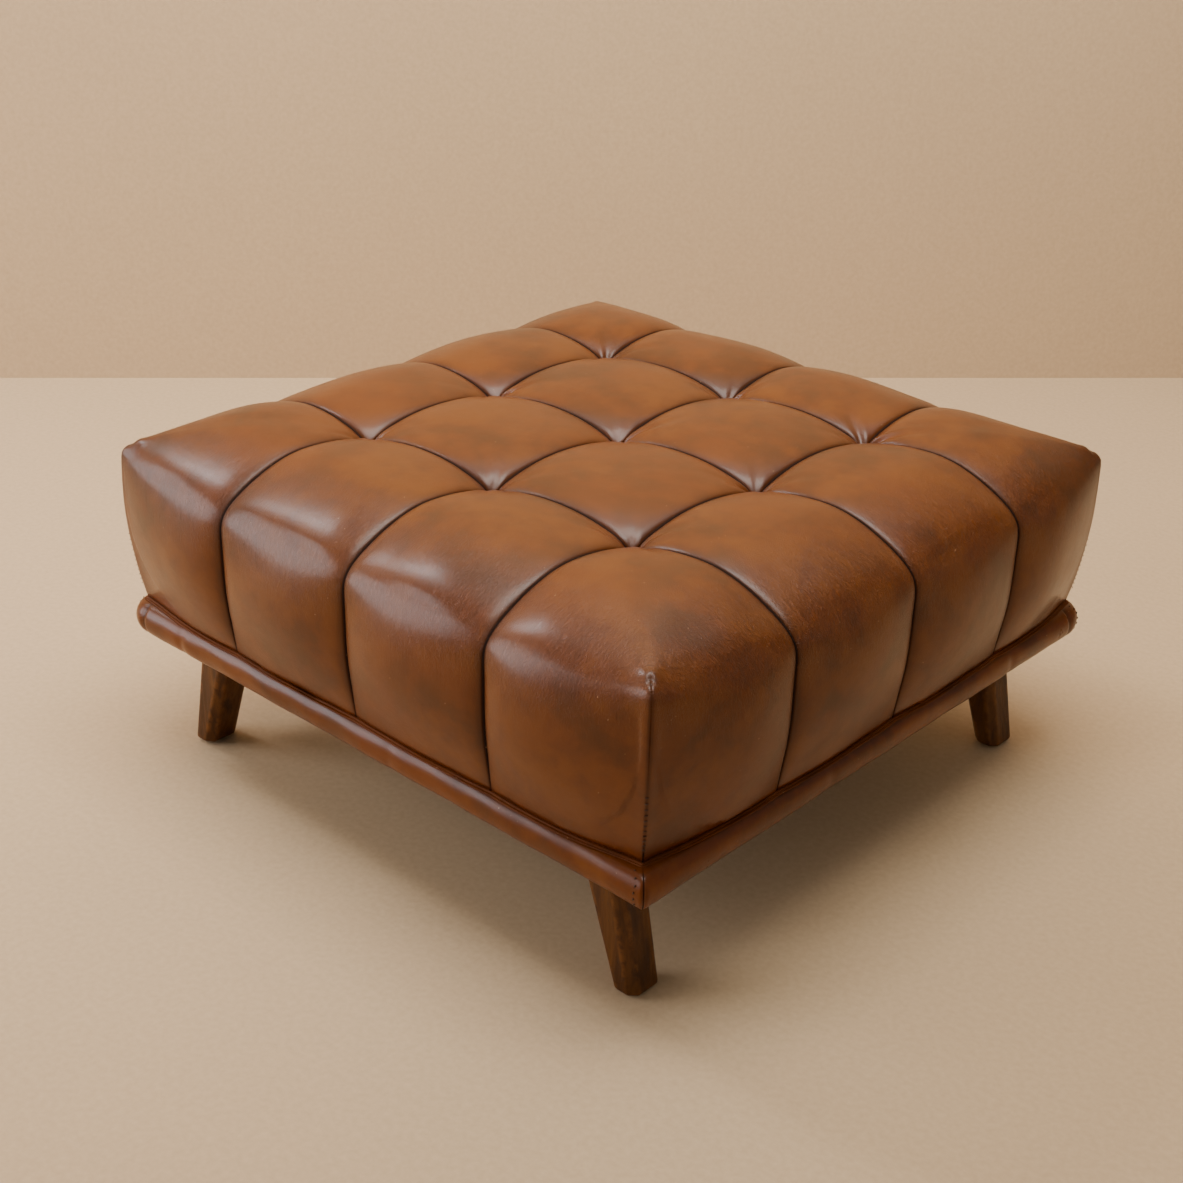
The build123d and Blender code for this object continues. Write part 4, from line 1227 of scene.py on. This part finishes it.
places, directions = [], []
for row in MITRE_ROWS:
    _flat, side, place, from_corner = rail_ring(section_reach[row])
    for quarter, (cosine, sine) in enumerate(QUARTER_TURNS):
        away = np.where((side == quarter) & (place > 0), np.abs(from_corner - MITRE_ASIDE), FAR_AWAY)
        places.append(ring_rows[row][int(np.argmin(away))] + MITRE_PROUD * np.array([sine, -cosine, 0]))
        directions.append(np.array([0.2 * cosine, 0.2 * sine, 1.0]))
beads("mitre_stitches", places, directions, seam_thread, length=2.8, radius=0.8)

# %% [markdown]
# ## The dust cover
# A sheet of thin black lining is stretched over the open underside and stapled to the rails. It sags a
# few millimetres between the staples and the cross members, and its edge is folded under once.

# %% Dust cover
LINING_LINES, LINING_SAG, LINING_THICK, HEM, FIRST_DROP = 65, 3.5, 0.35, 14, 0.25
PUCKER_TURNS, PUCKER_FADE, PUCKER_HEIGHT, HELD_WIDTH, HELD_SHARE = 34, 14, 0.2, 38.0, 0.8
lining_high = np.array(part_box("dust_cover")[1]) / MM
axis = np.linspace(-1, 1, LINING_LINES)
share_x, share_y = np.meshgrid(axis, axis, indexing="ij")
slack = (1 - share_x**2) * (1 - share_y**2)
held = 1 - HELD_SHARE * bell(np.abs(share_x) * lining_high[0], PITCH / 2, HELD_WIDTH)
beside_x, beside_y = [np.exp(-(1 - np.abs(share)) * PUCKER_FADE) for share in (share_x, share_y)]
pucker = np.sin(share_x * PUCKER_TURNS) * beside_y + np.sin(share_y * PUCKER_TURNS) * beside_x
pucker *= np.clip(slack * 12, 0, 1)
level = lining_high[2] - FIRST_DROP - LINING_SAG * slack * held + PUCKER_HEIGHT * pucker
folded = np.maximum(np.abs(share_x), np.abs(share_y)) * lining_high[0] > lining_high[0] - HEM
under = level - LINING_THICK - LINING_THICK * folded
faces = grid_faces(LINING_LINES, LINING_LINES)
count = LINING_LINES**2
rim = border(np.arange(count).reshape(LINING_LINES, LINING_LINES))
rim_next = np.roll(rim, -1)
lining = make_piece(
    "dust_lining", np.concatenate([
        np.stack([share_x * lining_high[0], share_y * lining_high[1], height], axis=-1).reshape(-1, 3)
        for height in (level, under)
    ]),
    np.concatenate([
        faces, faces[:, ::-1] + count, np.stack([rim, rim + count, rim_next + count, rim_next], axis=-1),
    ]), [lining_cloth],
)
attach(lining, "root")
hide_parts("dust_cover")

# %% Staples
STAPLES_ON_SIDE, STAPLE_INSET, STAPLE_DROP, CORNER_INSET, CROOKED = 11, 7.0, 1.1, 22, 0.12
places, directions = [], []
for quarter, (cosine, sine) in enumerate(QUARTER_TURNS):
    for x in np.linspace(-1, 1, STAPLES_ON_SIDE) * (lining_high[0] - CORNER_INSET):
        flat = turned(x, STAPLE_INSET - lining_high[1], quarter)
        places.append(np.array([*flat, lining_high[2] - STAPLE_DROP]))
        directions.append(np.array([cosine + CROOKED * math.sin(x), sine + CROOKED * math.cos(x), 0.0]))
staples = beads("lining_staples", places, directions, steel, length=10.0, radius=0.45)

# %% Measure and finish
low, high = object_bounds()
print("visual box in metres:", [round(v, 4) for v in low], [round(v, 4) for v in high])
